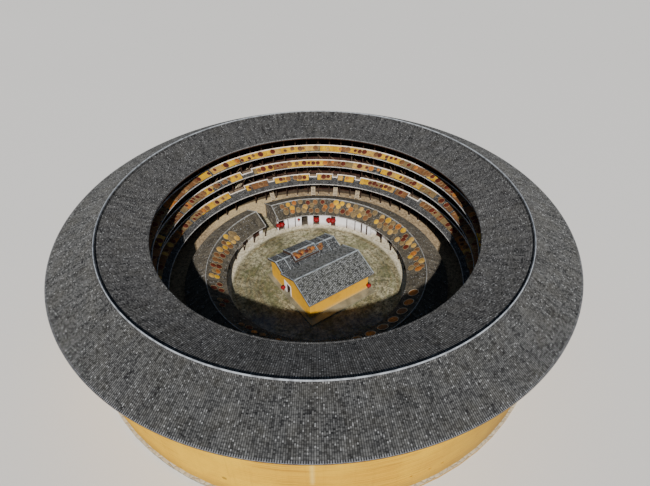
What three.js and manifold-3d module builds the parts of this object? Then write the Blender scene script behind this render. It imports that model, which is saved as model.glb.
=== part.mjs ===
// Tulou roundhouse: a ring-shaped earth house of four storeys around a low ring
// house and a central hall, as a scale model at one half of its real size.
//
// The origin lies on the axis of the rings, at the level of the lowest ground.
// +Z is up, and the gate faces -Y. Azimuths are degrees, counter-clockwise from +X.

import * as THREE from 'three';
import { mergeVertices } from 'three/addons/utils/BufferGeometryUtils.js';
import Module from 'manifold-3d';

const wasm = await Module();
wasm.setup();

// Sizes
// Every size below is in metres of the real house.

const MODEL_SCALE = 0.5;
const MM = 1000 * MODEL_SCALE;
const CLEARANCE = 0.3 / MM;

// Bays: the outer ring has 72 bays of 5 degrees, and the timber rings take two at a time.
const OUTER_FACETS = 72;
const TIMBER_FACETS = 36;
const BAY = 5;
const GATE_AZIMUTH = 270;
// Degrees left open where two arcs of a ring meet
const JOINT_ANGLE = 0.003;

// Levels
const LEDGE_TOP = 0.5;
const COURT = 1.2;
const FLOOR_LEVELS = [1.2, 5.2, 8.315, 11.43];
const FLOOR_THICKNESS = 0.25;

// Outer wall and foundation
const LEDGE_RADIUS = 33.3;
const WALL_OUTER = 33.0;
const WALL_OUTER_TOP = 32.7;
const WALL_INNER = 31.4;

// Main roof: inner eave, ridge and outer eave, as radius and height of the tiles
const ROOF_INNER = [22.8, 14.75];
const ROOF_RIDGE = [28.8, 16.95];
const ROOF_OUTER = [35.0, 14.5];
const ROOF_THICKNESS = 0.28;
const RIDGE_HALF_WIDTH = 0.2;
const RIDGE_HEIGHT = 0.3;

// Galleries
const GALLERY_RADIUS = 24.5;
const FRAME_THICKNESS = 0.2;
const PARAPET_HEIGHT = 0.97;
const POST_WIDTH = 0.22;
const ROOM_FRONT_RADIUS = 26.6;
const ROOM_FRONT_THICKNESS = 0.15;
const ROOM_DOOR = [0.9, 2.0];
const ROOM_DOOR_EVERY = 30;
const FIRST_ROOM_DOOR = 2.5;

// Tiled pent roofs in front of the galleries: radius of the lower edge and its drop
const PENT_ROOFS = [[22.3, 1.04], [23.1, 0.66], [23.1, 0.66]];
const PENT_THICKNESS = 0.14;
const NOTCH_DEPTH = 0.6;
const LOW_NOTCHES = [[270, 277.8], [255.9, 258.6], [235.8, 239.1], [226.1, 228.3], [215.3, 217.7],
  [185.4, 191]];
const MIDDLE_NOTCHES = [[265.6, 270.8]];

// Stairs: four steep flights that rise outwards from the lane, and one along the gallery above
const GROUND_FLIGHTS = [216.5, 227.0, 237.5, 257.0];
const GROUND_FLIGHT = { foot: 23.9, head: 26.2, width: 0.8 };
const UPPER_FLIGHT = { azimuth: 269.9, inner: 24.74, outer: 25.44, run: 3.2, hatch: 2.0 };
const RISER_COUNT = 16;
const FLIGHT_DEPTH = 0.3;

// Windows and vents of the outer wall
const WINDOW = [0.7, 0.9];
const WINDOW_SILL = 12.5;
const FIRST_WINDOW = 7.5;
const WINDOW_EVERY = 15;
const VENTS = [73.5, 77.5, 80.3];
const VENT_SIZE = 0.3;
const VENT_HEIGHT = 2.9;

// Gate
const GATE_OPENING = [2.6, 3.1];
const GATE_JAMB = 0.3;
const STEP_COUNT = 7;
const TREAD = 0.26;

// Inner ring house
const INNER_RING_FROM = 275;
const INNER_RING_SWEEP = 350;
const INNER_RING_FACETS = 35;
const INNER_ROOF = [[14.07, 3.83], [16.9, 5.4], [20.3, 3.87]];
const INNER_ROOF_THICKNESS = 0.14;
const INNER_RIDGE = { halfWidth: 0.12, height: 0.14 };
const INNER_OUTER_WALL = [19.4, 19.75];
const INNER_COURT_WALL = [15.5, 15.75];
// On the left of the gate the white front stands forward, below the eave, in place of the posts.
const INNER_FRONT = { facets: 7, wall: [14.55, 14.8], returnThickness: 0.25, doors: [236.2, 244.6, 262] };
const INNER_POST = { radius: 14.6, depth: 0.18, width: 0.16, every: 10, beam: 0.25 };
const GABLE_THICKNESS = 0.3;
const INNER_DOOR = [1.0, 2.1];
const FIRST_INNER_DOOR = 300;
const INNER_DOOR_EVERY = 30;

// Hall
const HALL_PLATFORM = { left: -6.0, right: 6.0, front: -5.6, back: 7.5, top: 1.4 };
const HALL_WALLS = { left: -5.4, right: 5.4, front: -4.8, back: 6.2, thickness: 0.35 };
const HALL_MAIN = { ridge: 2.81, top: 6.7, back: 6.9, valley: -1.0, left: -5.95, right: 5.95 };
const HALL_FRONT = { ridge: -3.0, top: 5.8, valley: -1.02, front: -5.5, left: -5.45, right: 5.65 };
const HALL_MIDDLE = { left: -1.55, right: 2.75, rise: 0.4, back: -1.7 };
const HALL_PITCH = 0.428;
const HALL_ROOF_THICKNESS = 0.2;
const HALL_RIDGE = { halfWidth: 0.1, height: 0.12 };
const HALL_SIDE_DOOR = { from: -0.2, to: 0.8, height: 2.0 };
const HALL_FRONT_DOOR = { halfWidth: 0.9, height: 2.4 };
const HALL_FRONT_WINDOW = { from: 2.8, to: 4.0, sill: 1.0, head: 2.2 };

// Materials

const paint = (color, roughness, metalness = 0) =>
  new THREE.MeshStandardMaterial({ color, roughness, metalness });
const EARTH = paint('#c9a45c', 0.95);
const STONE = paint('#8f8778', 0.9);
const COURT_STONE = paint('#a39a80', 0.9);
const TILE = paint('#4a4a48', 0.85);
const LIME = paint('#b9bcbc', 0.8);
const TIMBER = paint('#3f2c20', 0.75);
const BOARDS = paint('#5a4130', 0.8);
const PLASTER = paint('#d8d3c8', 0.85);
const OCHRE = paint('#d59a35', 0.85);

// Helpers

const house = new THREE.Group();
const radians = THREE.MathUtils.degToRad;

function merged(geometry) {
  geometry.deleteAttribute('normal');
  geometry.deleteAttribute('uv');
  return mergeVertices(geometry);
}

function toSolid(geometry) {
  const body = merged(geometry);
  return new wasm.Manifold(new wasm.Mesh({
    numProp: 3,
    vertProperties: Float32Array.from(body.attributes.position.array),
    triVerts: Uint32Array.from(body.index.array),
  }));
}

function toGeometry(solid) {
  const mesh = solid.getMesh();
  const geometry = new THREE.BufferGeometry();
  geometry.setAttribute('position', new THREE.BufferAttribute(Float32Array.from(mesh.vertProperties), 3));
  geometry.setIndex(new THREE.BufferAttribute(Uint32Array.from(mesh.triVerts), 1));
  return geometry;
}

function addPiece(name, geometry, material, azimuth = 0) {
  geometry.computeVertexNormals();
  const mesh = new THREE.Mesh(geometry, material);
  mesh.name = name;
  mesh.rotation.z = radians(azimuth);
  house.add(mesh);
}

// A section of [radius, height] points, counter-clockwise, swept around the axis.
function ring(section, facets, from = 0, sweep = 360) {
  const outline = section.map(([r, z]) => new THREE.Vector2(r * MM, z * MM));
  const closed = [...outline, outline[0]];
  const band = new THREE.LatheGeometry(closed, facets, radians(from + 90), radians(sweep));
  let index = [...band.index.array];
  const last = facets * closed.length;
  if (sweep === 360) {
    index = index.map((vertex) => vertex % last);
  } else {
    for (const [a, b, c] of THREE.ShapeUtils.triangulateShape(outline, [])) {
      index.push(a, b, c, last + a, last + c, last + b);
    }
  }
  band.setIndex(index);
  band.rotateX(Math.PI / 2);
  return merged(band);
}

// A box given by its low and high corners, turned about the axis afterwards.
function box(low, high, azimuth = 0) {
  const size = high.map((value, axis) => (value - low[axis]) * MM);
  const centre = high.map((value, axis) => (value + low[axis]) / 2 * MM);
  const geometry = new THREE.BoxGeometry(...size);
  geometry.translate(...centre);
  geometry.rotateZ(radians(azimuth));
  return geometry;
}

// An outline of [y, z] points, counter-clockwise seen from +X, from one x to another.
function acrossX(outline, fromX, toX) {
  const shape = new THREE.Shape(outline.map(([y, z]) => new THREE.Vector2(y * MM, z * MM)));
  const geometry = new THREE.ExtrudeGeometry(shape, { depth: (toX - fromX) * MM, bevelEnabled: false });
  geometry.rotateY(Math.PI / 2);
  geometry.rotateX(Math.PI / 2);
  geometry.translate(fromX * MM, 0, 0);
  return geometry;
}

function cut(geometry, cutters) {
  let solid = toSolid(geometry);
  for (const cutter of cutters) {
    solid = solid.subtract(toSolid(cutter));
  }
  return toGeometry(solid);
}

function join(geometry, others) {
  let solid = toSolid(geometry);
  for (const other of others) {
    solid = solid.add(toSolid(other));
  }
  return toGeometry(solid);
}

// Height of a straight line through two [radius, height] points.
function heightAt(radius, [r1, z1], [r2, z2]) {
  return z1 + (z2 - z1) * (radius - r1) / (r2 - r1);
}

const innerRoofUnderside = (r) => heightAt(r, ROOF_INNER, ROOF_RIDGE) - ROOF_THICKNESS;
const outerRoofUnderside = (r) => heightAt(r, ROOF_OUTER, ROOF_RIDGE) - ROOF_THICKNESS;

// Base

function addBase() {
  addPiece('stone_foundation', ring([[WALL_INNER, 0], [LEDGE_RADIUS, 0], [LEDGE_RADIUS, LEDGE_TOP],
    [WALL_INNER, LEDGE_TOP]], OUTER_FACETS), STONE);
  const radius = WALL_INNER - 0.05;
  const floor = new THREE.CylinderGeometry(radius * MM, radius * MM, COURT * MM, TIMBER_FACETS, 1,
    false, radians(BAY));
  floor.rotateX(Math.PI / 2);
  floor.translate(0, 0, COURT / 2 * MM);
  addPiece('courtyard_floor', floor, COURT_STONE);
}

// Outer wall

function wallSection() {
  const wallTop = (r) => outerRoofUnderside(r) - CLEARANCE;
  return [[WALL_INNER, LEDGE_TOP], [WALL_OUTER, LEDGE_TOP], [WALL_OUTER_TOP, wallTop(WALL_OUTER_TOP)],
    [WALL_INNER, wallTop(WALL_INNER)]];
}

function wallWindow(azimuth, size, sill) {
  const half = size[0] / 2;
  return box([WALL_INNER - 1, -half, sill], [WALL_OUTER + 1, half, sill + size[1]], azimuth);
}

function addOuterWall() {
  const names = ['front_right', 'right', 'back_right', 'back', 'back_left', 'left', 'front_left'];
  const sweep = 50;
  names.forEach((name, index) => {
    const from = GATE_AZIMUTH + BAY + index * sweep;
    const openings = [];
    for (let azimuth = FIRST_WINDOW; azimuth < 720; azimuth += WINDOW_EVERY) {
      if (azimuth > from && azimuth < from + sweep) {
        openings.push(wallWindow(azimuth, WINDOW, WINDOW_SILL));
      }
    }
    if (name === 'back') {
      for (const azimuth of VENTS) {
        openings.push(wallWindow(azimuth, [VENT_SIZE, VENT_SIZE], VENT_HEIGHT - VENT_SIZE / 2));
      }
    }
    const trim = 0.0005;
    addPiece(`outer_wall_${name}`, cut(ring(wallSection(), 10, from + trim, sweep - 2 * trim), openings),
      EARTH);
  });
}

// The bay of the gate is one straight stretch of wall, parted beside and over the gateway.
function addGateBay() {
  const bay = () => ring(wallSection(), 1, GATE_AZIMUTH - BAY, 2 * BAY);
  const half = GATE_OPENING[0] / 2;
  const head = COURT + GATE_OPENING[1] + GATE_JAMB;
  const far = 40;
  const right = cut(bay(), [box([-far, -far, -1], [half, 0, 20])]);
  const left = cut(bay(), [box([-half, -far, -1], [far, 0, 20])]);
  const above = cut(bay(), [
    box([-far, -far, -1], [-half + CLEARANCE, 0, 20]),
    box([half - CLEARANCE, -far, -1], [far, 0, 20]),
    box([-far, -far, -1], [far, 0, head]),
  ]);
  addPiece('gate_wall_right', right, EARTH);
  addPiece('gate_wall_left', left, EARTH);
  addPiece('gate_wall_above', above, EARTH);

  const face = -WALL_OUTER * Math.cos(radians(BAY));
  const inner = half - GATE_JAMB;
  const frame = cut(
    box([-half + CLEARANCE, face + 0.05, COURT], [half - CLEARANCE, face + 0.55, head - CLEARANCE]),
    [box([-inner, -far, COURT - 1], [inner, 0, COURT + GATE_OPENING[1]])],
  );
  addPiece('gate_frame', frame, STONE);

  const rise = COURT / STEP_COUNT;
  const back = -WALL_INNER * Math.cos(radians(BAY));
  const ledge = -LEDGE_RADIUS - CLEARANCE;
  const profile = [[back, LEDGE_TOP], [back, COURT]];
  const top = ledge - 0.1;
  for (let step = 0; step < STEP_COUNT; step += 1) {
    profile.push([top - step * TREAD, COURT - step * rise]);
    profile.push([top - step * TREAD, COURT - (step + 1) * rise]);
  }
  profile.push([ledge, 0], [ledge, LEDGE_TOP]);
  addPiece('gate_steps', acrossX(profile, -half + CLEARANCE, half - CLEARANCE), STONE);
}

// Timber rings

function doorCutter(radius, floor, size, azimuth) {
  const half = size[0] / 2;
  return box([radius - 1.2, -half, floor - 1], [radius + 1.2, half, floor + size[1]], azimuth);
}

function addStorey(storey) {
  const floor = FLOOR_LEVELS[storey];
  const top = storey < 3 ? FLOOR_LEVELS[storey + 1] - FLOOR_THICKNESS : null;
  const ceiling = (r) => (top === null ? innerRoofUnderside(r) - CLEARANCE : top);
  const number = storey + 1;

  if (storey > 0) {
    const boards = ring([[GALLERY_RADIUS, floor - FLOOR_THICKNESS],
      [WALL_INNER - CLEARANCE, floor - FLOOR_THICKNESS], [WALL_INNER - CLEARANCE, floor],
      [GALLERY_RADIUS, floor]], TIMBER_FACETS, BAY);
    addPiece(`floor_${number}`, cut(boards, stairHatches(storey)), BOARDS);
  }

  const back = ROOM_FRONT_RADIUS;
  const front = back - ROOM_FRONT_THICKNESS;
  const flat = Math.cos(radians(BAY));
  const wall = ring([[front, floor], [back, floor], [back, ceiling(back * flat)],
    [front, ceiling(front * flat)]], TIMBER_FACETS, BAY);
  const doors = [];
  for (let azimuth = FIRST_ROOM_DOOR; azimuth < 360; azimuth += ROOM_DOOR_EVERY) {
    doors.push(doorCutter(front, floor, ROOM_DOOR, azimuth));
  }
  if (storey === 0) {
    doors.push(doorCutter(front, floor, GATE_OPENING, GATE_AZIMUTH));
  }
  addPiece(`room_fronts_${number}`, cut(wall, doors), BOARDS);

  const face = GALLERY_RADIUS;
  const outer = face + FRAME_THICKNESS;
  const rail = storey > 0 ? [floor, floor + PARAPET_HEIGHT] : [top - 0.3, top];
  const band = ring([[face, rail[0]], [outer, rail[0]], [outer, rail[1]], [face, rail[1]]],
    TIMBER_FACETS, BAY);
  const posts = [];
  for (let azimuth = BAY; azimuth < 360; azimuth += 2 * BAY) {
    const half = POST_WIDTH / 2;
    const from = storey > 0 ? rail[1] - 0.1 : floor;
    const to = storey > 0 ? ceiling(face) - 0.001 : rail[0] + 0.1;
    posts.push(box([face + 0.005, -half, from], [outer - 0.005, half, to], azimuth));
  }
  const name = storey > 0 ? `gallery_parapet_${number}` : 'arcade_posts_1';
  addPiece(name, join(band, posts), TIMBER);
}

// Openings in a floor for the flights that arrive there
function stairHatches(storey) {
  const low = FLOOR_LEVELS[storey] - 1;
  const high = FLOOR_LEVELS[storey] + 1;
  if (storey === 1) {
    const half = GROUND_FLIGHT.width / 2 + 0.05;
    return GROUND_FLIGHTS.map((azimuth) =>
      box([GALLERY_RADIUS + FRAME_THICKNESS + 0.05, -half, low],
        [GROUND_FLIGHT.head + CLEARANCE, half, high], azimuth));
  }
  if (storey === 2) {
    const { azimuth, inner, outer, run, hatch } = UPPER_FLIGHT;
    const end = -run / 2 - CLEARANCE;
    return [box([inner - 0.04, end, low], [outer + 0.04, end + hatch, high], azimuth)];
  }
  return [];
}

// A flight that rises along +X from x = 0, as wide as stated along Y
function flight(run, low, high, width) {
  const rise = (high - low) / RISER_COUNT;
  const tread = run / (RISER_COUNT - 1);
  const outline = [[FLIGHT_DEPTH, low]];
  outline.push([run, high - rise - FLIGHT_DEPTH], [run, high - rise]);
  for (let step = RISER_COUNT - 2; step >= 0; step -= 1) {
    outline.push([step * tread, low + (step + 1) * rise]);
    outline.push([step * tread, low + step * rise]);
  }
  const shape = new THREE.Shape(outline.map(([x, z]) => new THREE.Vector2(x * MM, z * MM)));
  const geometry = new THREE.ExtrudeGeometry(shape, { depth: width * MM, bevelEnabled: false });
  geometry.rotateX(Math.PI / 2);
  geometry.translate(0, width / 2 * MM, 0);
  return geometry;
}

function addStairs() {
  const [ground, second, third] = FLOOR_LEVELS;
  GROUND_FLIGHTS.forEach((azimuth, index) => {
    const { foot, head, width } = GROUND_FLIGHT;
    const steps = flight(head - foot, ground, second, width);
    steps.translate(foot * MM, 0, 0);
    addPiece(`stairs_ground_${index + 1}`, merged(steps), STONE, azimuth);
  });
  const { azimuth, inner, outer, run } = UPPER_FLIGHT;
  const steps = flight(run, second, third, outer - inner);
  steps.rotateZ(-Math.PI / 2);
  steps.translate((inner + outer) / 2 * MM, run / 2 * MM, 0);
  addPiece('stairs_upper', merged(steps), BOARDS, azimuth);
}

function addPentRoof(storey, notches) {
  const [lower, drop] = PENT_ROOFS[storey - 1];
  const upper = GALLERY_RADIUS - CLEARANCE;
  const high = FLOOR_LEVELS[storey] + PARAPET_HEIGHT;
  const low = high - drop;
  const roof = ring([[lower, low - PENT_THICKNESS], [upper, high - PENT_THICKNESS], [upper, high],
    [lower, low]], TIMBER_FACETS, BAY);
  const cutters = notches.map(([from, to]) => {
    const half = GALLERY_RADIUS * radians(to - from) / 2;
    return box([upper - NOTCH_DEPTH, -half, high - 1], [upper + 1, half, high + 1], (from + to) / 2);
  });
  addPiece(`pent_roof_${storey + 1}`, cut(roof, cutters), TILE);
}

// Main roof

function addMainRoof() {
  const down = ([r, z]) => [r, z - ROOF_THICKNESS];
  const innerTop = [ROOF_RIDGE[0] - CLEARANCE, ROOF_RIDGE[1]];
  addPiece('main_roof_outer', ring([down(ROOF_RIDGE), down(ROOF_OUTER), ROOF_OUTER, ROOF_RIDGE],
    OUTER_FACETS), TILE);
  addPiece('main_roof_inner', ring([down(ROOF_INNER), down(innerTop), innerTop, ROOF_INNER],
    OUTER_FACETS), TILE);
  const inner = ROOF_RIDGE[0] - RIDGE_HALF_WIDTH;
  const outer = ROOF_RIDGE[0] + RIDGE_HALF_WIDTH;
  const top = ROOF_RIDGE[1] + RIDGE_HEIGHT;
  addPiece('main_ridge', ring([
    [inner, heightAt(inner, ROOF_INNER, ROOF_RIDGE) + CLEARANCE],
    [ROOF_RIDGE[0], ROOF_RIDGE[1] + CLEARANCE],
    [outer, heightAt(outer, ROOF_OUTER, ROOF_RIDGE) + CLEARANCE],
    [outer - 0.05, top],
    [inner + 0.05, top],
  ], OUTER_FACETS), LIME);
}

// Inner ring house

function innerUnderside(r) {
  const [inner, ridge, outer] = INNER_ROOF;
  const top = r < ridge[0] ? heightAt(r, inner, ridge) : heightAt(r, outer, ridge);
  return top - INNER_ROOF_THICKNESS;
}

function innerRing(section) {
  return ring(section, INNER_RING_FACETS, INNER_RING_FROM, INNER_RING_SWEEP);
}

function addInnerRing() {
  const under = (r) => innerUnderside(r) - CLEARANCE;
  const [inner, ridge, outer] = INNER_ROOF;
  const down = ([r, z]) => [r, z - INNER_ROOF_THICKNESS];
  const courtTop = [ridge[0] - CLEARANCE, ridge[1]];
  addPiece('inner_ring_roof_lane', innerRing([down(ridge), down(outer), outer, ridge]), TILE);
  addPiece('inner_ring_roof_court', innerRing([down(inner), down(courtTop), courtTop, inner]), TILE);
  const half = INNER_RIDGE.halfWidth;
  addPiece('inner_ring_ridge', innerRing([
    [ridge[0] - half, heightAt(ridge[0] - half, inner, ridge) + CLEARANCE],
    [ridge[0], ridge[1] + CLEARANCE],
    [ridge[0] + half, heightAt(ridge[0] + half, outer, ridge) + CLEARANCE],
    [ridge[0] + half, ridge[1] + INNER_RIDGE.height],
    [ridge[0] - half, ridge[1] + INNER_RIDGE.height],
  ]), LIME);

  const [lane, laneFace] = INNER_OUTER_WALL;
  addPiece('inner_ring_outer_wall', innerRing([[lane, COURT], [laneFace, COURT], [laneFace, under(laneFace)],
    [lane, under(lane)]]), EARTH);

  // The front towards the court: recessed behind posts, and forward in its last facets
  const left = INNER_RING_FROM + INNER_RING_SWEEP;
  const forwardFrom = left - 2 * BAY * INNER_FRONT.facets;
  const recessed = (section) => ring(section, INNER_RING_FACETS - INNER_FRONT.facets, INNER_RING_FROM,
    forwardFrom - INNER_RING_FROM - JOINT_ANGLE);
  const wallBetween = ([face, back]) => [[face, COURT], [back, COURT], [back, under(back)],
    [face, under(face)]];
  const [courtFace, room] = INNER_COURT_WALL;
  const doors = [];
  for (let azimuth = FIRST_INNER_DOOR; azimuth < forwardFrom; azimuth += INNER_DOOR_EVERY) {
    doors.push(doorCutter(courtFace, COURT, INNER_DOOR, azimuth));
  }
  addPiece('inner_ring_court_wall', cut(recessed(wallBetween(INNER_COURT_WALL)), doors), PLASTER);

  const [frontFace, frontRoom] = INNER_FRONT.wall;
  const tall = 10;
  const forward = ring(wallBetween(INNER_FRONT.wall), INNER_FRONT.facets, forwardFrom, left - forwardFrom);
  const returnWall = cut(ring(wallBetween([frontFace + 0.1, room]), 1, forwardFrom, 2 * BAY),
    [box([0, INNER_FRONT.returnThickness, -1], [25, tall, tall], forwardFrom)]);
  addPiece('inner_ring_white_front', cut(join(forward, [returnWall]),
    INNER_FRONT.doors.map((azimuth) => doorCutter(frontFace, COURT, INNER_DOOR, azimuth))), PLASTER);

  const { radius, depth, width, every } = INNER_POST;
  const beamTop = under(radius);
  const beamFoot = beamTop - INNER_POST.beam;
  const beam = recessed([[radius, beamFoot], [radius + depth, beamFoot], [radius + depth, beamTop],
    [radius, beamTop]]);
  const posts = [];
  for (let azimuth = INNER_RING_FROM + every; azimuth < forwardFrom; azimuth += every) {
    posts.push(box([radius + 0.01, -width / 2, COURT], [radius + depth - 0.01, width / 2, beamFoot + 0.05],
      azimuth));
  }
  addPiece('inner_ring_posts', join(beam, posts), TIMBER);

  // Gable walls on both sides of the passage
  const gableTo = lane - CLEARANCE;
  const gable = (from) => [[from, COURT], [gableTo, COURT], [gableTo, under(gableTo)],
    [ridge[0], under(ridge[0])], [from, under(from)]];
  addPiece('inner_ring_gable_right', cut(ring(gable(room + CLEARANCE), 1, INNER_RING_FROM, 2 * BAY),
    [box([0, GABLE_THICKNESS, -1], [25, tall, tall], INNER_RING_FROM)]), PLASTER);
  addPiece('inner_ring_gable_left', cut(ring(gable(frontRoom + CLEARANCE), 1, left - 2 * BAY, 2 * BAY),
    [box([0, -tall, -1], [25, -GABLE_THICKNESS, tall], left)]), PLASTER);
}

// Hall

const mainRoofTop = (y) => HALL_MAIN.top - HALL_PITCH * Math.abs(y - HALL_MAIN.ridge);
const frontRoofTop = (y) => HALL_FRONT.top - HALL_PITCH * Math.abs(y - HALL_FRONT.ridge);

function hallRoofProfile(topAt, eaves, ridge, thickness, rise = 0) {
  const [from, to] = eaves;
  return [[from, topAt(from) - thickness], [ridge, topAt(ridge) - thickness], [to, topAt(to) - thickness],
    [to, topAt(to) + rise], [ridge, topAt(ridge) + rise], [from, topAt(from) + rise]];
}

function addHall() {
  const p = HALL_PLATFORM;
  addPiece('hall_platform', box([p.left, p.front, COURT], [p.right, p.back, p.top]), STONE);

  const w = HALL_WALLS;
  const t = w.thickness;
  const thickness = HALL_ROOF_THICKNESS;
  const mainUnder = (y) => mainRoofTop(y) - thickness - CLEARANCE;
  const frontUnder = (y) => frontRoofTop(y) - thickness - CLEARANCE;
  const gable = [[w.front, p.top], [w.back, p.top], [w.back, mainUnder(w.back)],
    [HALL_MAIN.ridge, mainUnder(HALL_MAIN.ridge)], [HALL_MAIN.valley, mainUnder(HALL_MAIN.valley)],
    [HALL_FRONT.valley, frontUnder(HALL_FRONT.valley)], [HALL_FRONT.ridge, frontUnder(HALL_FRONT.ridge)],
    [w.front, frontUnder(w.front)]];
  const sideDoor = box([-10, HALL_SIDE_DOOR.from, 0], [10, HALL_SIDE_DOOR.to, p.top + HALL_SIDE_DOOR.height]);
  addPiece('hall_wall_right', cut(acrossX(gable, w.right - t, w.right), [sideDoor]), OCHRE);
  addPiece('hall_wall_left', cut(acrossX(gable, w.left, w.left + t), [sideDoor.clone()]), OCHRE);
  const backWall = [[w.back - t, p.top], [w.back, p.top], [w.back, mainUnder(w.back)],
    [w.back - t, mainUnder(w.back - t)]];
  const inside = [w.left + t + CLEARANCE, w.right - t - CLEARANCE];
  addPiece('hall_wall_back', acrossX(backWall, ...inside), OCHRE);
  const frontWall = [[w.front, p.top], [w.front + t, p.top], [w.front + t, frontUnder(w.front + t)],
    [w.front, frontUnder(w.front)]];
  const door = HALL_FRONT_DOOR;
  const { from, to, sill, head } = HALL_FRONT_WINDOW;
  const frontOpenings = [
    box([-door.halfWidth, -20, 0], [door.halfWidth, 0, p.top + door.height]),
    box([-to, -20, p.top + sill], [-from, 0, p.top + head]),
    box([from, -20, p.top + sill], [to, 0, p.top + head]),
  ];
  addPiece('hall_wall_front', cut(acrossX(frontWall, ...inside), frontOpenings), OCHRE);

  addPiece('hall_main_roof', acrossX(hallRoofProfile(mainRoofTop, [HALL_MAIN.valley, HALL_MAIN.back],
    HALL_MAIN.ridge, thickness), HALL_MAIN.left, HALL_MAIN.right), TILE);
  const span = [HALL_FRONT.front, HALL_FRONT.valley];
  const parts = [
    ['left', HALL_FRONT.left, HALL_MIDDLE.left - CLEARANCE, 0],
    ['middle', HALL_MIDDLE.left, HALL_MIDDLE.right, HALL_MIDDLE.rise],
    ['right', HALL_MIDDLE.right + CLEARANCE, HALL_FRONT.right, 0],
  ];
  for (const [name, left, right, rise] of parts) {
    const profile = hallRoofProfile(frontRoofTop, span, HALL_FRONT.ridge, thickness, rise);
    if (rise > 0) {
      // The raised part stops short of the valley.
      const { back } = HALL_MIDDLE;
      profile.splice(3, 1, [HALL_FRONT.valley, frontRoofTop(HALL_FRONT.valley)],
        [back, frontRoofTop(back)], [back, frontRoofTop(back) + rise]);
    }
    addPiece(`hall_front_roof_${name}`, acrossX(profile, left, right), TILE);
    addPiece(`hall_front_ridge_${name}`, acrossX(
      ridgeCap(HALL_FRONT.ridge, HALL_FRONT.top + rise), left, right), LIME);
  }
  addPiece('hall_main_ridge', acrossX(ridgeCap(HALL_MAIN.ridge, HALL_MAIN.top), HALL_MAIN.left,
    HALL_MAIN.right), LIME);
}

function ridgeCap(y, top) {
  const { halfWidth, height } = HALL_RIDGE;
  const foot = top - HALL_PITCH * halfWidth + CLEARANCE;
  return [[y - halfWidth, foot], [y, top + CLEARANCE], [y + halfWidth, foot],
    [y + halfWidth, top + height], [y - halfWidth, top + height]];
}

// The house

addBase();
addOuterWall();
addGateBay();
for (let storey = 0; storey < 4; storey += 1) {
  addStorey(storey);
}
addPentRoof(1, LOW_NOTCHES);
addPentRoof(2, MIDDLE_NOTCHES);
addPentRoof(3, []);
addStairs();
addMainRoof();
addInnerRing();
addHall();

export default house;
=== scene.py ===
# %% [markdown]
# # A tulou roundhouse, dressed for its portrait
#
# A tulou is a fortified farmhouse for a whole clan: one thick ring of rammed earth, four
# storeys of timber galleries that look inwards, and in the court a low ring and a small hall.
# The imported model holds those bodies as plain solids. This lesson loads them and dresses them
# with tiles, joinery, plaster, earth, lanterns and the trays of crops that dry on the roofs.
#
# Each dressed piece could be modelled by hand, but a ring repeats the same bay 72 times, so
# everything here is written as code: one function makes a bay, a flight or a slope, and a loop
# sets it in its places.

# %% Load the frame
import math
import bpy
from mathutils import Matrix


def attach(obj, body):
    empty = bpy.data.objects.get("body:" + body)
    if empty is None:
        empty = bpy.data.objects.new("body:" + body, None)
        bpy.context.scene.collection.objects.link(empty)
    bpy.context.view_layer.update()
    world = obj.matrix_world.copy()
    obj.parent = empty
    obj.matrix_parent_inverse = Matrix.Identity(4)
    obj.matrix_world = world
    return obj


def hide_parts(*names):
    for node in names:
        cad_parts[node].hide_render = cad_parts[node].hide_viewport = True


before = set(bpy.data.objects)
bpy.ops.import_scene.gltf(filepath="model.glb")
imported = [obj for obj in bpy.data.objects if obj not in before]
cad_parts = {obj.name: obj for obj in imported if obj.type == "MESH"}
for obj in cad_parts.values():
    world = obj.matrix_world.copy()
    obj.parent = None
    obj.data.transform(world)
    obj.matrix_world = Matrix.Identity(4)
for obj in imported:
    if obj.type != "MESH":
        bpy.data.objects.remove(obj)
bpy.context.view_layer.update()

from types import SimpleNamespace

import bpy
import numpy as np

# %% [markdown]
# ## Sizes
#
# The house is at one half of its real size. All numbers below are metres of the real house,
# because they are easier to judge, and `K` brings them to the model. Radii are from the axis of
# the rings, heights from the lowest ground, and azimuths are degrees, counter-clockwise from
# +X. The gate is at 270.
#
# A ring could also be laid out in x and y, but then every bay would need a sine and a cosine of
# its own. With radius, azimuth and height, a bay is written once and turned.

# %% Named sizes, the same as in the solid model, and where the sun stands
K = 0.5
BAYS, BAY = 72, 5.0
GATE = 270.0
COURT = 1.2
FLOORS = [1.2, 5.2, 8.315, 11.43]
SLAB = 0.25
ROOF_INNER, ROOF_RIDGE, ROOF_OUTER = (22.8, 14.75), (28.8, 16.95), (35.0, 14.5)
ROOF_THICKNESS = 0.28
GALLERY, POST = 24.5, (24.51, 24.71)
ROOM_FRONT = 26.5
PENTS = {1: (22.3, 1.04), 2: (23.1, 0.66), 3: (23.1, 0.66)}
PENT_THICKNESS = 0.14
NOTCH = 0.6
NOTCHES = {
    1: [(185.4, 191.0), (215.3, 217.7), (226.1, 228.3), (235.8, 239.1), (255.9, 258.6), (270.0, 277.8)],
    2: [(265.6, 270.8)],
    3: [],
}
RAIL = 0.97
WINDOW, WINDOW_SILL = (0.7, 0.9), 12.5
INNER_FROM, INNER_TO = 275.0, 625.0
INNER_EAVE, INNER_RIDGE, INNER_OUT = (14.07, 3.83), (16.9, 5.4), (20.3, 3.87)
INNER_THICKNESS = 0.14
FORWARD_FROM = 555.0
RECESSED, FORWARD = 15.6, 14.67
INNER_DOOR = (1.0, 2.1)
FORWARD_DOORS = (236.2, 244.6, 262.0)
GROUND_FLIGHTS = (216.5, 227.0, 237.5, 257.0)
FLIGHT_FOOT, FLIGHT_HEAD, FLIGHT_WIDTH = 23.9, 26.2, 0.8
UPPER_FLIGHT = SimpleNamespace(azimuth=269.9, inner=24.74, outer=25.44, run=3.2, rail=0.8)
RISERS = 16
HALL_PITCH, HALL_THICKNESS = 0.428, 0.2
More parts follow.
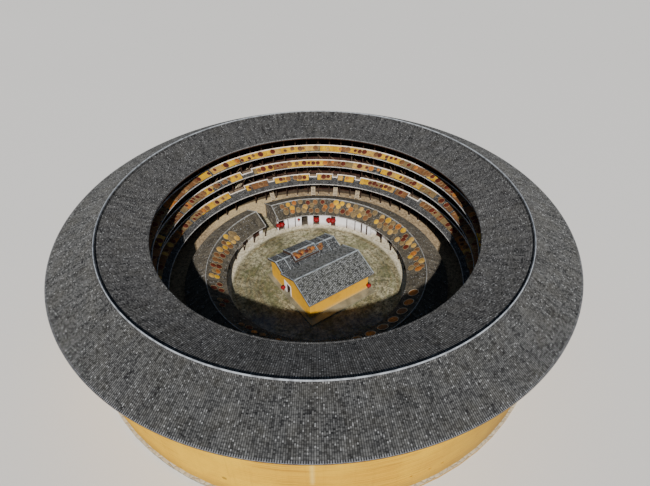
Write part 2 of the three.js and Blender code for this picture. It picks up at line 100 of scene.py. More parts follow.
HALL_SIDE, HALL_FRONT, HALL_FLOOR, HALL_EDGE = 5.4, -4.6, 1.4, 5.95
MAIN = SimpleNamespace(ridge=2.81, top=6.7, back=6.9, valley=-1.0, left=-HALL_EDGE, right=HALL_EDGE)
FRONT = SimpleNamespace(ridge=-3.0, top=5.8, valley=-1.02, front=-5.5, left=-5.45, right=5.65)
MIDDLE = SimpleNamespace(left=-1.55, right=2.75, rise=0.4, back=-1.7)
SUN_AZIMUTH, SUN_ELEVATION = 55.0, 40.0
print("real house", 2 * ROOF_OUTER[0], "m across the eaves,", BAYS, "bays")


def along(r, a, b):
    """Height at radius r on the straight line through two (radius, height) points."""
    return a[1] + (b[1] - a[1]) * (r - a[0]) / (b[0] - a[0])


# %% [markdown]
# ## A small language for shader maths
#
# A finish is a network of nodes. It could be clicked together in the shader editor, or linked
# line by line in code, and both become hard to read after ten nodes. So `Sock` wraps an output
# socket and takes part in ordinary arithmetic: `a * 2.0 + b` adds the two Math nodes itself.
#
# `Paint` makes one material. It starts with a base colour, and each `coat` lays another one
# over it by a share from 0 to 1, as a painter would. Any other node comes from `Paint.node`:
# its settings are set first, and then each socket is given a number, a colour or another
# `Sock`. A colour of three numbers is what a screen shows, 0 to 255.
#
# Patterns are laid out in metres of the real house, from the object's own coordinates, so a
# course of tiles or a plank has its true size on every piece.

# %% Shader sockets that behave like numbers
class Sock:
    """An output of a shader node, for use in sums."""

    def __init__(self, paint, socket):
        self.paint, self.socket = paint, socket

    def floor(self):
        return self.paint.sum("FLOOR", self)

    def fraction(self):
        return self.paint.sum("FRACT", self)

    def __abs__(self):
        return self.paint.sum("ABSOLUTE", self)

    def limit(self):
        return self.paint.node("ShaderNodeClamp", sockets={0: self, 1: 0.0, 2: 1.0})

    def spread(self, low, high):
        """0 below low, 1 above high, and straight between them; low may be the larger one."""
        return self.paint.node("ShaderNodeMapRange", sockets={0: self, 1: low, 2: high})


def arithmetic(operation, swapped=False):
    """The method behind an operator sign. swapped is for a number that stands on the left."""
    if swapped:
        return lambda sock, other: sock.paint.sum(operation, other, sock)
    return lambda sock, other: sock.paint.sum(operation, sock, other)


for sign, operation in (("add", "ADD"), ("mul", "MULTIPLY"), ("sub", "SUBTRACT"), ("truediv", "DIVIDE")):
    setattr(Sock, f"__{sign}__", arithmetic(operation))
    setattr(Sock, f"__r{sign}__", arithmetic(operation, sign in ("sub", "truediv")))

# %% [markdown]
# ### One material
#
# The class holds the few textures that all finishes share: smooth noise, a random number for
# each place in a grid, and Voronoi cells for stones and grains.

# %% Paint, one procedural material
def rgb(*screen):
    """A colour as a screen shows it, 0 to 255, turned into the shader's linear values."""
    shares = [value / 255 for value in screen]
    return (*(v / 12.92 if v <= 0.04045 else ((v + 0.055) / 1.055) ** 2.4 for v in shares), 1.0)


class Paint:
    """One procedural material, with the colour that its coats have built up so far."""

    def __init__(self, name):
        self.material = bpy.data.materials.new(name)
        self.material.use_nodes = True
        self.tree = self.material.node_tree
        self.position = self.node("ShaderNodeNewGeometry", out="Position")
        self.x, self.y, self.z = (
            self.node("ShaderNodeSeparateXYZ", sockets={0: self.position}, out=axis) / K for axis in range(3))

    def node(self, kind, settings=None, sockets=None, out=0):
        made = self.tree.nodes.new(kind)
        for key, value in (settings or {}).items():
            setattr(made, key, value)
        for key, value in (sockets or {}).items():
            self.give(made.inputs[key], value)
        return Sock(self, made.outputs[out])

    def give(self, socket, value):
        if isinstance(value, Sock):
            self.tree.links.new(value.socket, socket)
        else:
            screen = isinstance(value, tuple) and len(value) == 3
            socket.default_value = rgb(*value) if screen else value

    def sum(self, operation, *values):
        return self.node("ShaderNodeMath", {"operation": operation}, dict(enumerate(values)))

    def vector(self, x, y, z=0.0):
        return self.node("ShaderNodeCombineXYZ", sockets={0: x, 1: y, 2: z})

    def noise(self, scale, detail=3.0, at=None, roughness=0.55):
        where = self.vector(*at) if at else self.position
        sockets = {"Vector": where, "Scale": scale, "Detail": detail, "Roughness": roughness}
        return self.node("ShaderNodeTexNoise", sockets=sockets)

    def white(self, x, y, z=0.0):
        return self.node("ShaderNodeTexWhiteNoise", sockets={"Vector": self.vector(x, y, z)})

    def cells(self, scale, feature="F1", out="Distance"):
        sockets = {"Vector": self.position, "Scale": scale}
        return self.node("ShaderNodeTexVoronoi", {"feature": feature}, sockets, out)

    def edge(self, scale):
        return self.cells(scale, "DISTANCE_TO_EDGE")

    def tone(self, scale, channel=0):
        """A random number for each cell."""
        return self.node("ShaderNodeSeparateColor", sockets={0: self.cells(scale, out="Color")}, out=channel)

    def radius(self):
        return self.sum("SQRT", self.x * self.x + self.y * self.y)

    def azimuth(self):
        """Degrees from -180 to 180."""
        return self.sum("ARCTAN2", self.y, self.x) * (180 / math.pi)

    def mix(self, share, first, second):
        return self.node("ShaderNodeMix", {"data_type": "RGBA"}, {0: share, 6: first, 7: second}, 2)

    def base(self, share, first, second):
        self.colour = self.mix(share, first, second)

    def coat(self, share, colour):
        self.colour = self.mix(share, self.colour, colour)

    def finish(self, roughness, height=None, strength=0.5, distance=0.01, specular=0.3, normal=None):
        """Gives colour, roughness and relief to the shader. normal is what the relief starts from."""
        inputs = self.tree.nodes["Principled BSDF"].inputs
        self.give(inputs["Base Color"], self.colour)
        inputs["Roughness"].default_value = roughness
        inputs["Specular IOR Level"].default_value = specular
        if height:
            sockets = {"Strength": strength, "Distance": distance, "Height": height}
            if normal:
                sockets["Normal"] = normal
            self.give(inputs["Normal"], self.node("ShaderNodeBump", sockets=sockets))
        return self.material


# %% [markdown]
# ## Clay tiles
#
# The roofs are laid with thin grey clay tiles, fired in small kilns, so no two have the same
# tone. An image of tiles could be wrapped on the slope, but it would repeat and blur. Here the
# colour comes from a random number for each cell of a grid of ribs and courses. The grid
# follows the ring on round roofs and the ridge on the hall. Each rib's cells are shifted by a
# random share of a course, because tiles laid by hand don't line up. Weather streaks, lichen
# and a few pale tiles come on top. Painted shade darkens the channels between the ribs and a
# thin line below the lip of each course.

# %% Tile finish
HALL_RIB, HALL_COURSE = 2 * HALL_EDGE / 50, 0.24


def tile_paint(name, across, down, dark, pale, patina=0.3, grooves=0.7, flecks=0.045, mottle=0.2,
               patch=(2.0, 5.0), contrast=1.0, lines=0.0, rim=None):
    """across and down are functions of the paint, and count ribs and courses. rim is the radius of
    an eave whose last tiles are plugged with lime, which gives a dotted edge."""
    p = Paint(name)
    across, down = across(p), down(p)
    rib = across.floor()
    crest = 1.0 - abs((across.fraction() - 0.5) * 2.0)
    lip = down.fraction().spread(0.0, 0.2)
    laid = (down * 2.0 + p.white(rib, 0.0, 5.0) * 2.0).floor()
    cell, other = p.white(rib, laid), p.white(rib, laid, 7.0)
    run = p.white((rib / patch[0]).floor(), (down / patch[1]).floor(), 3.0)
    streak = p.noise(1.0, 4.0, (across * 0.5, down * 0.06))
    lichen = p.noise(0.8, 5.0, roughness=0.65)
    shade = cell * (0.82 - mottle) + run * mottle + streak.spread(0.35, 0.7) * 0.28 - 0.06
    shade = shade * (1.0 - lines) + p.white(rib, 0.0, 9.0) * lines
    p.base(((shade - 0.5) * contrast + 0.5).limit(), dark, pale)
    p.coat(lichen.spread(0.45, 0.7) * patina, (94, 91, 82))
    p.coat(other.spread(0.99 - flecks, 1.02 - flecks) * 0.6 * crest, (188, 190, 192))
    # Painted shade: the channels between the ribs are darkened where shade falls
    p.coat((1.0 - crest.spread(0.05, 0.6)) * grooves, (15, 15, 18))
    # Painted shadow: a dark line below the lip of each course
    p.coat((1.0 - lip) * 0.3, (18, 18, 20))
    if rim:
        plug = crest.spread(0.25, 0.75) * (p.white(rib, 0.0, 11.0) * 0.6 + 0.4)
        ends = p.mix(plug, (20, 21, 24), (150, 152, 156))
        p.coat(p.radius().spread(rim - 0.24, rim - 0.16) * 0.75, ends)
    return p.finish(0.9, lip * 0.5 + p.noise(60.0, 3.0) * 0.3 + cell * 0.4, 0.6, 0.02, 0.2)


def ring_tiles(name, ribs, courses, ridge, eave, *looks, phase=0.0, **more):
    """Tiles of a round slope. ribs go all round; ridge and eave start with their radius."""
    ridge, eave = ridge[0], eave[0]
    return tile_paint(name, lambda p: (p.azimuth() + 360.0) * (ribs / 360) + phase,
                      lambda p: (p.radius() - ridge) * (courses / (eave - ridge)) + 50.0, *looks, **more)


def hall_tiles(name, ridge_y, *looks, **more):
    """Tiles on both sides of a straight ridge."""
    return tile_paint(name, lambda p: (p.x + HALL_EDGE) / HALL_RIB + 50.0,
                      lambda p: abs(p.y - ridge_y) / HALL_COURSE, *looks,
                      patina=0.1, mottle=0.1, patch=(1.0, 1.0), lines=0.1, **more)


# %% [markdown]
# ### Lime mortar
#
# Ridges and verges are pointed with lime, which starts almost white and gathers grey dirt in
# its pores. Two noises are enough: a wide one for the dirt and a fine one for the grains of
# sand.

# %% Lime finish
def lime_paint(name, clean, grime_and_shade, scale=3.0):
    p = Paint(name)
    dirt, fine = p.noise(scale, 5.0), p.noise(40.0, 3.0)
    p.base(dirt.spread(0.42, 0.72), clean, grime_and_shade)
    p.coat(fine.spread(0.6, 0.8) * 0.35, (92, 92, 90))
    return p.finish(0.85, fine * 0.6 + dirt, 0.35, 0.02)


# %% [markdown]
# ### Rammed earth
#
# The outer wall is clay, sand and lime, rammed between boards in lifts of about 0.42 m and
# finished with a yellow wash. The lifts stay visible as faint level lines, rain leaves streaks
# below the eave, and the foot is damp. Flat facets would show on such a smooth wall, so the
# normal on the outside is taken from the direction away from the axis, and the wall reads as
# round though its solid has 72 sides.

# %% Earth finish
def earth_paint():
    """Lifts of 0.42 m, patches, rain streaks, one pale run of lime, a darker stretch of grime and painted
    shade, a wet foot.
    """
    p = Paint("rammed_earth")
    azimuth, lift = p.azimuth(), p.z / 0.42
    seam = abs(lift.fraction() - 0.5).spread(0.44, 0.5)
    layer = p.noise(1.0, 3.0, (azimuth * 0.05, p.z * 9.0))
    wide = p.noise(0.22, 5.0, roughness=0.6)
    grain = p.noise(9.0, 6.0, roughness=0.7)
    streak = p.noise(1.0, 5.0, (azimuth * 1.4, p.z * 0.09))
    p.base(wide.spread(0.38, 0.66), (228, 178, 40), (208, 154, 36))
    p.coat(p.white(lift.floor(), 0.0) * 0.35, (232, 191, 60))
    p.coat(layer.spread(0.5, 0.6) * wide.spread(0.38, 0.56) * 0.75, (170, 122, 34))
    p.coat(grain.spread(0.5, 0.75) * 0.3, (176, 130, 52))
    p.coat(streak.spread(0.56, 0.74) * 0.2, (150, 106, 44))
    run = (abs(azimuth - 55.1) + streak * 0.3).spread(0.75, 0.25)
    p.coat(run * p.z.spread(4.6, 5.6) * p.z.spread(10.4, 9.0) * 0.4, (236, 214, 130))
    p.coat((2.6 - p.z + grain).spread(0.6, 1.8) * 0.45, (150, 118, 62))
    p.coat(seam * 0.26, (150, 106, 36))
    # A darker brownish-grey stretch low on the wall between azimuths 72 and 150: partly grime and partly
    # painted shade
    grime_and_shade = azimuth.spread(72.0, 94.0) * azimuth.spread(150.0, 124.0)
    grime_and_shade = grime_and_shade * (8.5 - p.z + wide * 4.0 + grain * 2.0).spread(3.2, 4.8)
    p.coat(grime_and_shade * 0.6, (124, 102, 70))
    p.coat(p.cells(0.55).spread(0.09, 0.07) * 0.6, (104, 74, 36))
    flat = p.node("ShaderNodeNewGeometry", out="True Normal")
    away = p.node("ShaderNodeVectorMath", {"operation": "NORMALIZE"}, {0: p.vector(p.x, p.y)})
    facing = p.node("ShaderNodeVectorMath", {"operation": "DOT_PRODUCT"}, {0: flat, 1: away}, "Value")
    outside = p.sum("GREATER_THAN", facing, 0.95)
    normal = p.node("ShaderNodeMix", {"data_type": "VECTOR"}, {0: outside, 4: flat, 5: away}, 1)
    height = grain * 0.6 + seam * -0.25 + wide * 0.4 + layer * 0.2
    return p.finish(0.95, height, 0.5, 0.03, 0.15, normal)


# %% [markdown]
# ### Stone and rubble
#
# The foot of the wall is river stone set in mortar, and steps and sills are dressed granite.
# Voronoi cells give the stones, and the distance to a cell's edge gives the joints. Modelled
# stones would cost many faces for a band that is half a metre high, so here colour and bump do
# the work. The end walls of the low ring and the step stone share this cell, because each is
# only a base tone with stains.

# %% Stone finishes
def rubble_paint():
    """River stones set in pale mortar, with old ochre plaster over them on one side."""
    p = Paint("foundation_stone")
    joint, grain, azimuth = p.edge(2.6), p.noise(14.0, 5.0), p.azimuth()
    p.base(p.tone(2.6), (150, 142, 124), (196, 186, 164))
    p.coat(grain.spread(0.45, 0.75) * 0.5, (104, 98, 84))
    p.coat((1.0 - joint.spread(0.01, 0.06)) * 0.7, (88, 80, 66))
    side = azimuth.spread(70.0, 76.0) * azimuth.spread(150.0, 140.0)
    plaster = p.mix(grain, (208, 158, 50), (158, 120, 56))
    p.coat(side * (p.z + grain * 0.2).spread(0.58, 0.5) * 0.85, plaster)
    p.coat(p.z.spread(0.46, 0.49) * 0.6, (214, 204, 178))
    return p.finish(0.9, joint.spread(0.0, 0.14) + grain * 0.3, 0.7, 0.05)


def gable_paint():
    """Grey rubble with smears of old lime, as on the two gables beside the passage; its dark tones are partly
    painted shade.
    """
    p = Paint("gable_rubble")
    joint, smear = p.edge(5.0), p.noise(2.6, 5.0, roughness=0.7)
    # Painted shade: the base tones are kept dark because these gables stand in shade
    p.base(p.tone(5.0), (58, 54, 50), (116, 108, 98))
    p.coat(smear.spread(0.5, 0.62) * 0.7, (176, 166, 148))
    p.coat((1.0 - joint.spread(0.01, 0.08)) * 0.6, (34, 31, 29))
    return p.finish(0.92, joint.spread(0.0, 0.12) + smear * 0.5, 0.6, 0.03)


def step_paint(name, clean, dark):
    p = Paint(name)
    grain, wide = p.noise(22.0, 6.0), p.noise(1.2, 4.0)
    p.base(wide.spread(0.35, 0.7), clean, dark)
    p.coat(grain.spread(0.5, 0.8) * 0.5, (84, 78, 68))
    return p.finish(0.88, grain + wide * 0.5, 0.4, 0.015)


# %% [markdown]
# ### The floor of the court
#
# The court is beaten earth and worn slabs, green with moss where nobody walks, and pale where
# feet and brooms keep it clean. Below the roofs it is darkened as painted shade, and on the side
# towards the sun a bluish dark band is painted where the great roof casts its shadow. One
# material serves the whole disc, since it is one solid: masks made from the radius, the azimuth
# and the direction of the sun say which part of the floor a point lies in.

# %% Court finish
def court_paint():
    p = Paint("court_paving")
    r, azimuth, joint = p.radius(), p.azimuth(), p.edge(2.4)
    wide = p.noise(0.3, 6.0, roughness=0.7)
    moss = p.noise(0.8, 6.0, roughness=0.8)
    fine = p.noise(3.4, 6.0, roughness=0.85)
    rows = p.noise(1.0, 5.0, (azimuth * 0.06, r * 2.2), 0.7)
    p.base(wide.spread(0.42, 0.58), (188, 180, 148), (100, 96, 72))
    p.coat(p.tone(2.4, 1) * 0.5, (196, 190, 158))
    p.coat(rows.spread(0.47, 0.6) * 0.45, (150, 128, 84))
    p.coat(fine.spread(0.47, 0.55) * 0.75, (54, 50, 36))
    p.coat(moss.spread(0.48, 0.58) * r.spread(14.6, 12.6) * 0.5, (84, 92, 52))
    drain = abs(r + wide * 0.8 + fine * 0.4 - 13.6).spread(0.3, 0.1)
    p.coat(drain * moss.spread(0.44, 0.56) * 0.5, (116, 94, 60))
    walk = (r + fine * 0.9 + wide * 0.8).spread(14.3, 14.7) * r.spread(15.8, 15.6)
    p.coat(walk * 0.8, p.mix(fine.spread(0.4, 0.6), (240, 232, 210), (188, 174, 144)))
    to_gate = (abs(azimuth + 90.0) + wide * 20.0).spread(34.0, 22.0)
    lane = p.mix(fine.spread(0.42, 0.6), (188, 164, 130), (120, 102, 80))
    p.coat(r.spread(19.8, 20.2) * 0.9, p.mix(to_gate * 0.6, lane, (224, 200, 152)))
    p.coat((1.0 - joint.spread(0.01, 0.05)) * 0.45, (64, 60, 46))
    # Painted shade below the roofs: behind the forward wall, in the rest of the low ring, in the great ring
    forward = abs(azimuth + 130.0).spread(35.1, 34.9) * r.spread(14.72, 14.76)
    low_ring = (forward + r.spread(15.66, 15.7)).limit() * r.spread(19.6, 19.5)
    low_ring = low_ring * abs(azimuth + 90.0).spread(4.6, 4.9)
    p.coat((low_ring + (r + fine * 0.2).spread(25.5, 25.7)).limit() * 0.85, (46, 36, 30))
    # Painted shadow: a bluish dark band on the side towards the sun, where the great roof's shadow falls
    sun = math.radians(SUN_AZIMUTH)
    painted_roof_shadow = (p.x * math.cos(sun) + p.y * math.sin(sun) + wide * 0.8).spread(6.6, 8.6) * r.spread(20.2, 19.8)
    p.coat(painted_roof_shadow * 0.55, p.mix(moss.spread(0.4, 0.6), (74, 88, 112), (30, 38, 52)))
    return p.finish(0.92, joint.spread(0.0, 0.08) * 0.6 + wide + fine * 0.4, 0.5, 0.03)


# %% [markdown]
# ### Timber
#
# Posts, floors and fronts are fir, left bare and darkened by a century of smoke. The boards of the
# fronts and below the eaves are darker still, as painted shade. Long grain runs along the planks,
# and each plank has its own tone. The grain could follow each board's own direction through
# texture coordinates, but most boards stand upright or lie round the ring, so two directions are
# enough, and `turned` chooses.

# %% Timber finish
def wood_paint(name, light, dark, turned=False, plank=0.22):
    """Weathered timber: grain runs upwards, or along the ring where turned is set."""
    p = Paint(name)
    around, r = p.azimuth() * 0.46, p.radius()
    if turned:
        at = (around * 0.6, r * 5.0, p.z * 5.0)
        board = p.white((r / plank).floor(), (p.z / 0.6).floor())
    else:
        at = (around * 6.0, r * 4.0, p.z * 0.5)
        board = p.white((around / plank).floor(), (r * 2.0).floor())
    grain = p.noise(2.2, 5.0, at, 0.65)
    p.base((grain * 0.75 + board * 0.35).limit(), dark, light)
    p.coat(p.noise(0.9, 4.0).spread(0.55, 0.78) * 0.35, (120, 108, 94))
    return p.finish(0.78, grain, 0.5, 0.01)


# %% [markdown]
# ### Plaster
#
# The low ring is limewashed white and the hall is washed in ochre. Both are stained by runs
# from the eave and by splashes at the foot, so the same function makes both with other colours.

# %% Plaster finish
def plaster_paint(name, clean, stain, foot):
    p = Paint(name)
    stains = p.noise(1.4, 5.0, roughness=0.65)
    run = p.noise(1.0, 4.0, (p.x * 2.5 + p.y * 2.5, p.z * 0.35))
    p.base(stains.spread(0.5, 0.78) * 0.6, clean, stain)
    p.coat(run.spread(0.55, 0.75) * 0.3, stain)
    p.coat((1.9 - p.z + stains * 0.6).spread(0.2, 0.8) * 0.55, foot)
    return p.finish(0.88, p.noise(50.0, 3.0) * 0.4 + stains, 0.25, 0.01)


# %% [markdown]
# ### Crops, cane and silk
#
# Maize, persimmons, chillies and roots dry in heaps. Seen from the air a heap is a patch of
# grains in one hue, so it is made of Voronoi cells with a random tone each. The trays are woven
# cane, and the lanterns are ribbed red silk.

# %% Crop, cane and silk finishes
def crop_paint(name, low, high, lump):
    p = Paint(name)
    wide = p.noise(1.3, 4.0, roughness=0.6).spread(0.36, 0.64)
    p.base((p.tone(lump) * 0.5 + wide * 0.6).limit(), low, high)
    return p.finish(0.7, p.cells(lump) * -1.0, 0.8, 0.02)


def cane_paint():
    p = Paint("cane_trays")
    weave = (p.x * 24.0).fraction() * (p.y * 24.0).fraction()
    p.base((weave + p.noise(3.0, 3.0) * 0.4).limit(), (116, 94, 64), (184, 160, 118))
    return p.finish(0.7, weave, 0.6, 0.01)


def lantern_paint():
    p = Paint("lantern_silk")
    p.base(p.noise(2.0, 2.0), (104, 4, 10), (150, 8, 16))
    return p.finish(0.5, (p.azimuth() * 8.0).fraction(), 0.3, 0.01)


# %% [markdown]
# ### The palette
#
# Every material is made once, here, and shared by all pieces that use it. Colours are written
# as the eye would name them on a screen, so a tone can be checked against the photograph.

# %% All materials
# Ribs all round, and courses down the slope
OUTER_TILES, INNER_TILES, PENT_TILES = (990, 22), (720, 25), (540, 9)
LANE_TILES, COURT_TILES = (540, 14), (432, 12)
TILES_OUTER = ring_tiles("ring_tiles_outer", *OUTER_TILES, ROOF_RIDGE, ROOF_OUTER,
                         (24, 25, 28), (118, 119, 119), rim=ROOF_OUTER[0])
TILES_INNER = ring_tiles("ring_tiles_inner", *INNER_TILES, ROOF_RIDGE, ROOF_INNER,
                         (26, 27, 30), (114, 114, 114), 0.2)
TILES_PENT = ring_tiles("pent_tiles", *PENT_TILES, (GALLERY,), PENTS[1],
                        (30, 30, 33), (112, 112, 112), 0.25)
TILES_LANE = ring_tiles("low_ring_tiles_lane", *LANE_TILES, INNER_RIDGE, INNER_OUT,
                        (36, 33, 30), (124, 116, 102), 0.5, mottle=0.35, phase=0.5)
TILES_COURT = ring_tiles("low_ring_tiles_court", *COURT_TILES, INNER_RIDGE, INNER_EAVE,
                         (36, 33, 30), (122, 114, 98), 0.5, mottle=0.35)
TILES_MAIN = hall_tiles("hall_tiles_main", MAIN.ridge, (40, 42, 43), (130, 132, 128),
                        grooves=0.95, flecks=0.4, contrast=1.3)
TILES_FRONT = hall_tiles("hall_tiles_front", FRONT.ridge, (32, 34, 37), (118, 121, 123),
                         grooves=0.9, flecks=0.2, contrast=1.25)
LIME = lime_paint("ridge_lime", (174, 180, 187), (112, 115, 120))
HALL_LIME = lime_paint("hall_lime", (158, 166, 172), (104, 110, 116))
LOW_LIME = lime_paint("low_ridge_lime", (168, 168, 166), (104, 102, 98), 6.0)
EDGE_LIME = lime_paint("edge_lime", (252, 244, 236), (216, 198, 176), 1.5)
TILE_ENDS = lime_paint("tile_ends", (140, 142, 144), (70, 70, 72), 9.0)
EAVE_LIME = lime_paint("eave_lime", (206, 204, 202), (136, 134, 132), 5.0)
EARTH, RUBBLE, GREY_RUBBLE_WITH_SHADE, COURT_FLOOR = earth_paint(), rubble_paint(), gable_paint(), court_paint()
GRANITE = step_paint("step_stone", (186, 178, 160), (150, 142, 126))
PLINTH = step_paint("platform_stone", (146, 140, 116), (102, 98, 80))
TIMBER = wood_paint("posts_timber", (66, 46, 36), (26, 19, 17))
BEAM = wood_paint("beams_timber", (70, 52, 42), (30, 23, 20), True)
# Boards of fronts, undersides and treads: dark bare fir, darkened further as painted shade
BOARDS_WITH_PAINTED_SHADE = wood_paint("front_boards", (84, 58, 44), (32, 23, 19))
RAILING = wood_paint("parapet_boards", (150, 130, 108), (92, 78, 64))
# Pale wood of stairs and large tray rims, kept brighter than its shade: partly painted light
PALE_WOOD_WITH_PAINTED_LIGHT = wood_paint("pale_wood_painted_light", (224, 210, 182), (162, 146, 120))
FLOORING = wood_paint("floor_boards", (84, 66, 52), (44, 34, 28), True)
DOORS = wood_paint("door_boards", (78, 46, 38), (36, 22, 20), plank=0.3)
PLASTER = plaster_paint("white_plaster", (248, 248, 252), (180, 172, 162), (150, 134, 112))
LANE_WALL = plaster_paint("lane_wall", (146, 126, 96), (98, 82, 62), (84, 70, 52))
OCHRE = plaster_paint("ochre_plaster", (230, 172, 40), (172, 124, 44), (196, 176, 130))
CANE, SILK = cane_paint(), lantern_paint()
CORN, PERSIMMON, CHILLI, ROOT, PALE, LEAF = 1, 2, 3, 4, 5, 6
CROPS = [
    crop_paint("crop_corn", (164, 116, 20), (220, 174, 26), 9.0),
    crop_paint("crop_persimmon", (124, 70, 26), (188, 118, 48), 7.0),
    crop_paint("crop_chilli", (58, 22, 12), (100, 38, 20), 12.0),
    crop_paint("crop_root", (84, 56, 34), (128, 88, 52), 10.0),
    crop_paint("crop_pale", (150, 114, 48), (204, 164, 84), 11.0),
    crop_paint("crop_leaf", (84, 70, 48), (136, 114, 76), 12.0),
]
print("materials", len(bpy.data.materials))

# %% [markdown]
# ## A builder for meshes
#
# Blender's own cubes and cylinders could be added and joined, but thousands of operator calls
# are slow and leave loose faces. `Build` collects vertices and faces as arrays, in metres of
# the real house, and makes one object of them at the end. A box is given by its limits and
# turned to its azimuth. A section is a list of (radius, height) points that is swept round the
# axis. Every body is closed, and its faces are turned outwards by the sign of its volume.

# %% The mesh builder
CORNERS = np.array([[x, y, z] for x in (0, 1) for y in (0, 1) for z in (0, 1)])
BOX_FACES = np.array([[0, 1, 3, 2], [4, 6, 7, 5], [0, 4, 5, 1], [2, 3, 7, 6], [0, 2, 6, 4], [1, 5, 7, 3]])
COUNTS = {}


def add_object(name, data):
    made = bpy.data.objects.new(name, data)
    bpy.context.scene.collection.objects.link(made)
    return made


def turn(points, azimuth):
    c, s = math.cos(math.radians(azimuth)), math.sin(math.radians(azimuth))
    return points @ np.array([[c, s, 0], [-s, c, 0], [0, 0, 1]])


class Build:
    """Collects the mesh of one piece."""

    def __init__(self, *materials):
        self.materials = materials
        self.points, self.groups, self.count = [], [], 0

    def add(self, points, *groups):
        """One closed body. Each group is (rows of vertex numbers, paint); faces are turned outwards."""
        points = points.reshape(-1, 3)
        middle, volume = points.mean(axis=0), 0.0
        for faces, _ in groups:
            corners = points[faces] - middle
            for k in range(1, faces.shape[1] - 1):
                volume += np.einsum("ij,ij->", corners[:, 0], np.cross(corners[:, k], corners[:, k + 1]))
        for faces, paint in groups:
            faces = faces[:, ::-1] if volume < 0 else faces
            self.groups.append((faces + self.count, np.broadcast_to(paint, len(faces))))
        self.points.append(points)
        self.count += len(points)

    def boxes(self, azimuth, *rows):
        """Each row is x from and to, y from and to, z from and to, and the paint."""
        for x0, x1, y0, y1, z0, z1, paint in rows:
            low, high = np.array([x0, y0, z0]), np.array([x1, y1, z1])
            self.add(turn(low + CORNERS * (high - low), azimuth), (BOX_FACES, paint))

    def bar(self, start, end, width, height, azimuth=0.0, paint=0):
        """A bar between two points; width is level, height is upright."""
        start, end = np.array(start, dtype=float), np.array(end, dtype=float)
        level = np.array([-(end - start)[1], (end - start)[0], 0.0])
        if not np.any(level):
            level = np.array([0.0, 1.0, 0.0])
        level *= width / 2 / np.linalg.norm(level)
        rise = np.cross(end - start, level)
        rise *= height / 2 / np.linalg.norm(rise)
        points = [at + a * level + b * rise for at in (start, end) for a in (-1, 1) for b in (-1, 1)]
        self.add(turn(np.array(points), azimuth), (BOX_FACES, paint))

    def strut(self, start, end, width, azimuth, paint=0):
        """A square bar between two (radius, height) points, in the plane of an azimuth."""
        self.bar((start[0], 0.0, start[1]), (end[0], 0.0, end[1]), width, width, azimuth, paint)

    def tube(self, points, closed, paint=0, caps=0):
        """points has shape (steps, section, 3); the section is closed, and so are the steps if
        closed is set. Otherwise both ends get a cap. paint may differ by side or by step."""
        steps, sides = points.shape[:2]
        i, j = np.arange(steps if closed else steps - 1)[:, None], np.arange(sides)[None, :]
        near, ahead, beside = i * sides, (i + 1) % steps * sides, (j + 1) % sides
        faces = np.stack([near + j, ahead + j, ahead + beside, near + beside], axis=-1)
        groups = [(faces.reshape(-1, 4), np.broadcast_to(paint, (len(i), sides)).reshape(-1))]
        if not closed:
            first, last = np.broadcast_to(caps, 2)
            groups += [(j, first), (j[:, ::-1] + (steps - 1) * sides, last)]
        self.add(points, *groups)

    def sweep(self, section, start=0.0, end=360.0, steps=144, paint=0, at=(0.0, 0.0)):
        """A closed section of (radius, height) points, swept from one azimuth to another. The
        section is counted from the point at."""
        full = abs(end - start - 360.0) < 1e-6
        angles = np.radians(np.linspace(start, end, steps + 1)[: steps if full else None])[:, None]
        r, z = (np.array(section) + at).T
        points = np.stack([np.cos(angles) * r, np.sin(angles) * r, z + 0 * angles], axis=-1)
        self.tube(points, full, paint, paint)

    def band(self, r0, r1, z0, z1, *where, **more):
        """A sweep with a rectangle for its section."""
        self.sweep([(r0, z0), (r1, z0), (r1, z1), (r0, z1)], *where, **more)

    def piece(self, name, replaces=()):
        """Makes the object, in metres of the model, and lets it ride on the house."""
        points = np.concatenate(self.points) * K
        loops = np.concatenate([faces.reshape(-1) for faces, _ in self.groups])
        sizes = np.concatenate([np.full(len(faces), faces.shape[1]) for faces, _ in self.groups])
        paints = np.concatenate([paint for _, paint in self.groups])
        mesh = bpy.data.meshes.new(name)
        mesh.vertices.add(len(points))
        mesh.vertices.foreach_set("co", points.reshape(-1))
        mesh.loops.add(len(loops))
        mesh.loops.foreach_set("vertex_index", loops.astype(np.int32))
        mesh.polygons.add(len(sizes))
        mesh.polygons.foreach_set("loop_start", (np.cumsum(sizes) - sizes).astype(np.int32))
        mesh.polygons.foreach_set("material_index", paints.astype(np.int32))
        mesh.polygons.foreach_set("use_smooth", np.zeros(len(sizes), dtype=bool))
        for material in self.materials:
            mesh.materials.append(material)
        mesh.update(calc_edges=True)
        mesh.validate()
        made = add_object(name, mesh)
        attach(made, "root")
        if replaces:
            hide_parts(*replaces)
        COUNTS[name] = int((sizes - 2).sum())
        print(name, COUNTS[name], "triangles")


# %% [markdown]
# ## Tiled roofs
#
# On the real roof, rows of hollow tiles lie as channels, and a second row covers each joint, so
# the slope is ribbed from ridge to eave. Each tile could be its own object, but the ring alone
# would need some 20 000. Instead a slope is one closed mesh: across it the surface rises and
# falls with each rib, and down it each course ends in a small step that catches the light. The
# eave face is pale where the tile ends are pointed with lime.
#
# `place` turns a position on the slope into a point in space, so the same function covers round
# and straight roofs.

# %% Slopes of tiles
RIB, COURSE_STEP, TILE_BED = 0.06, 0.02, 0.13


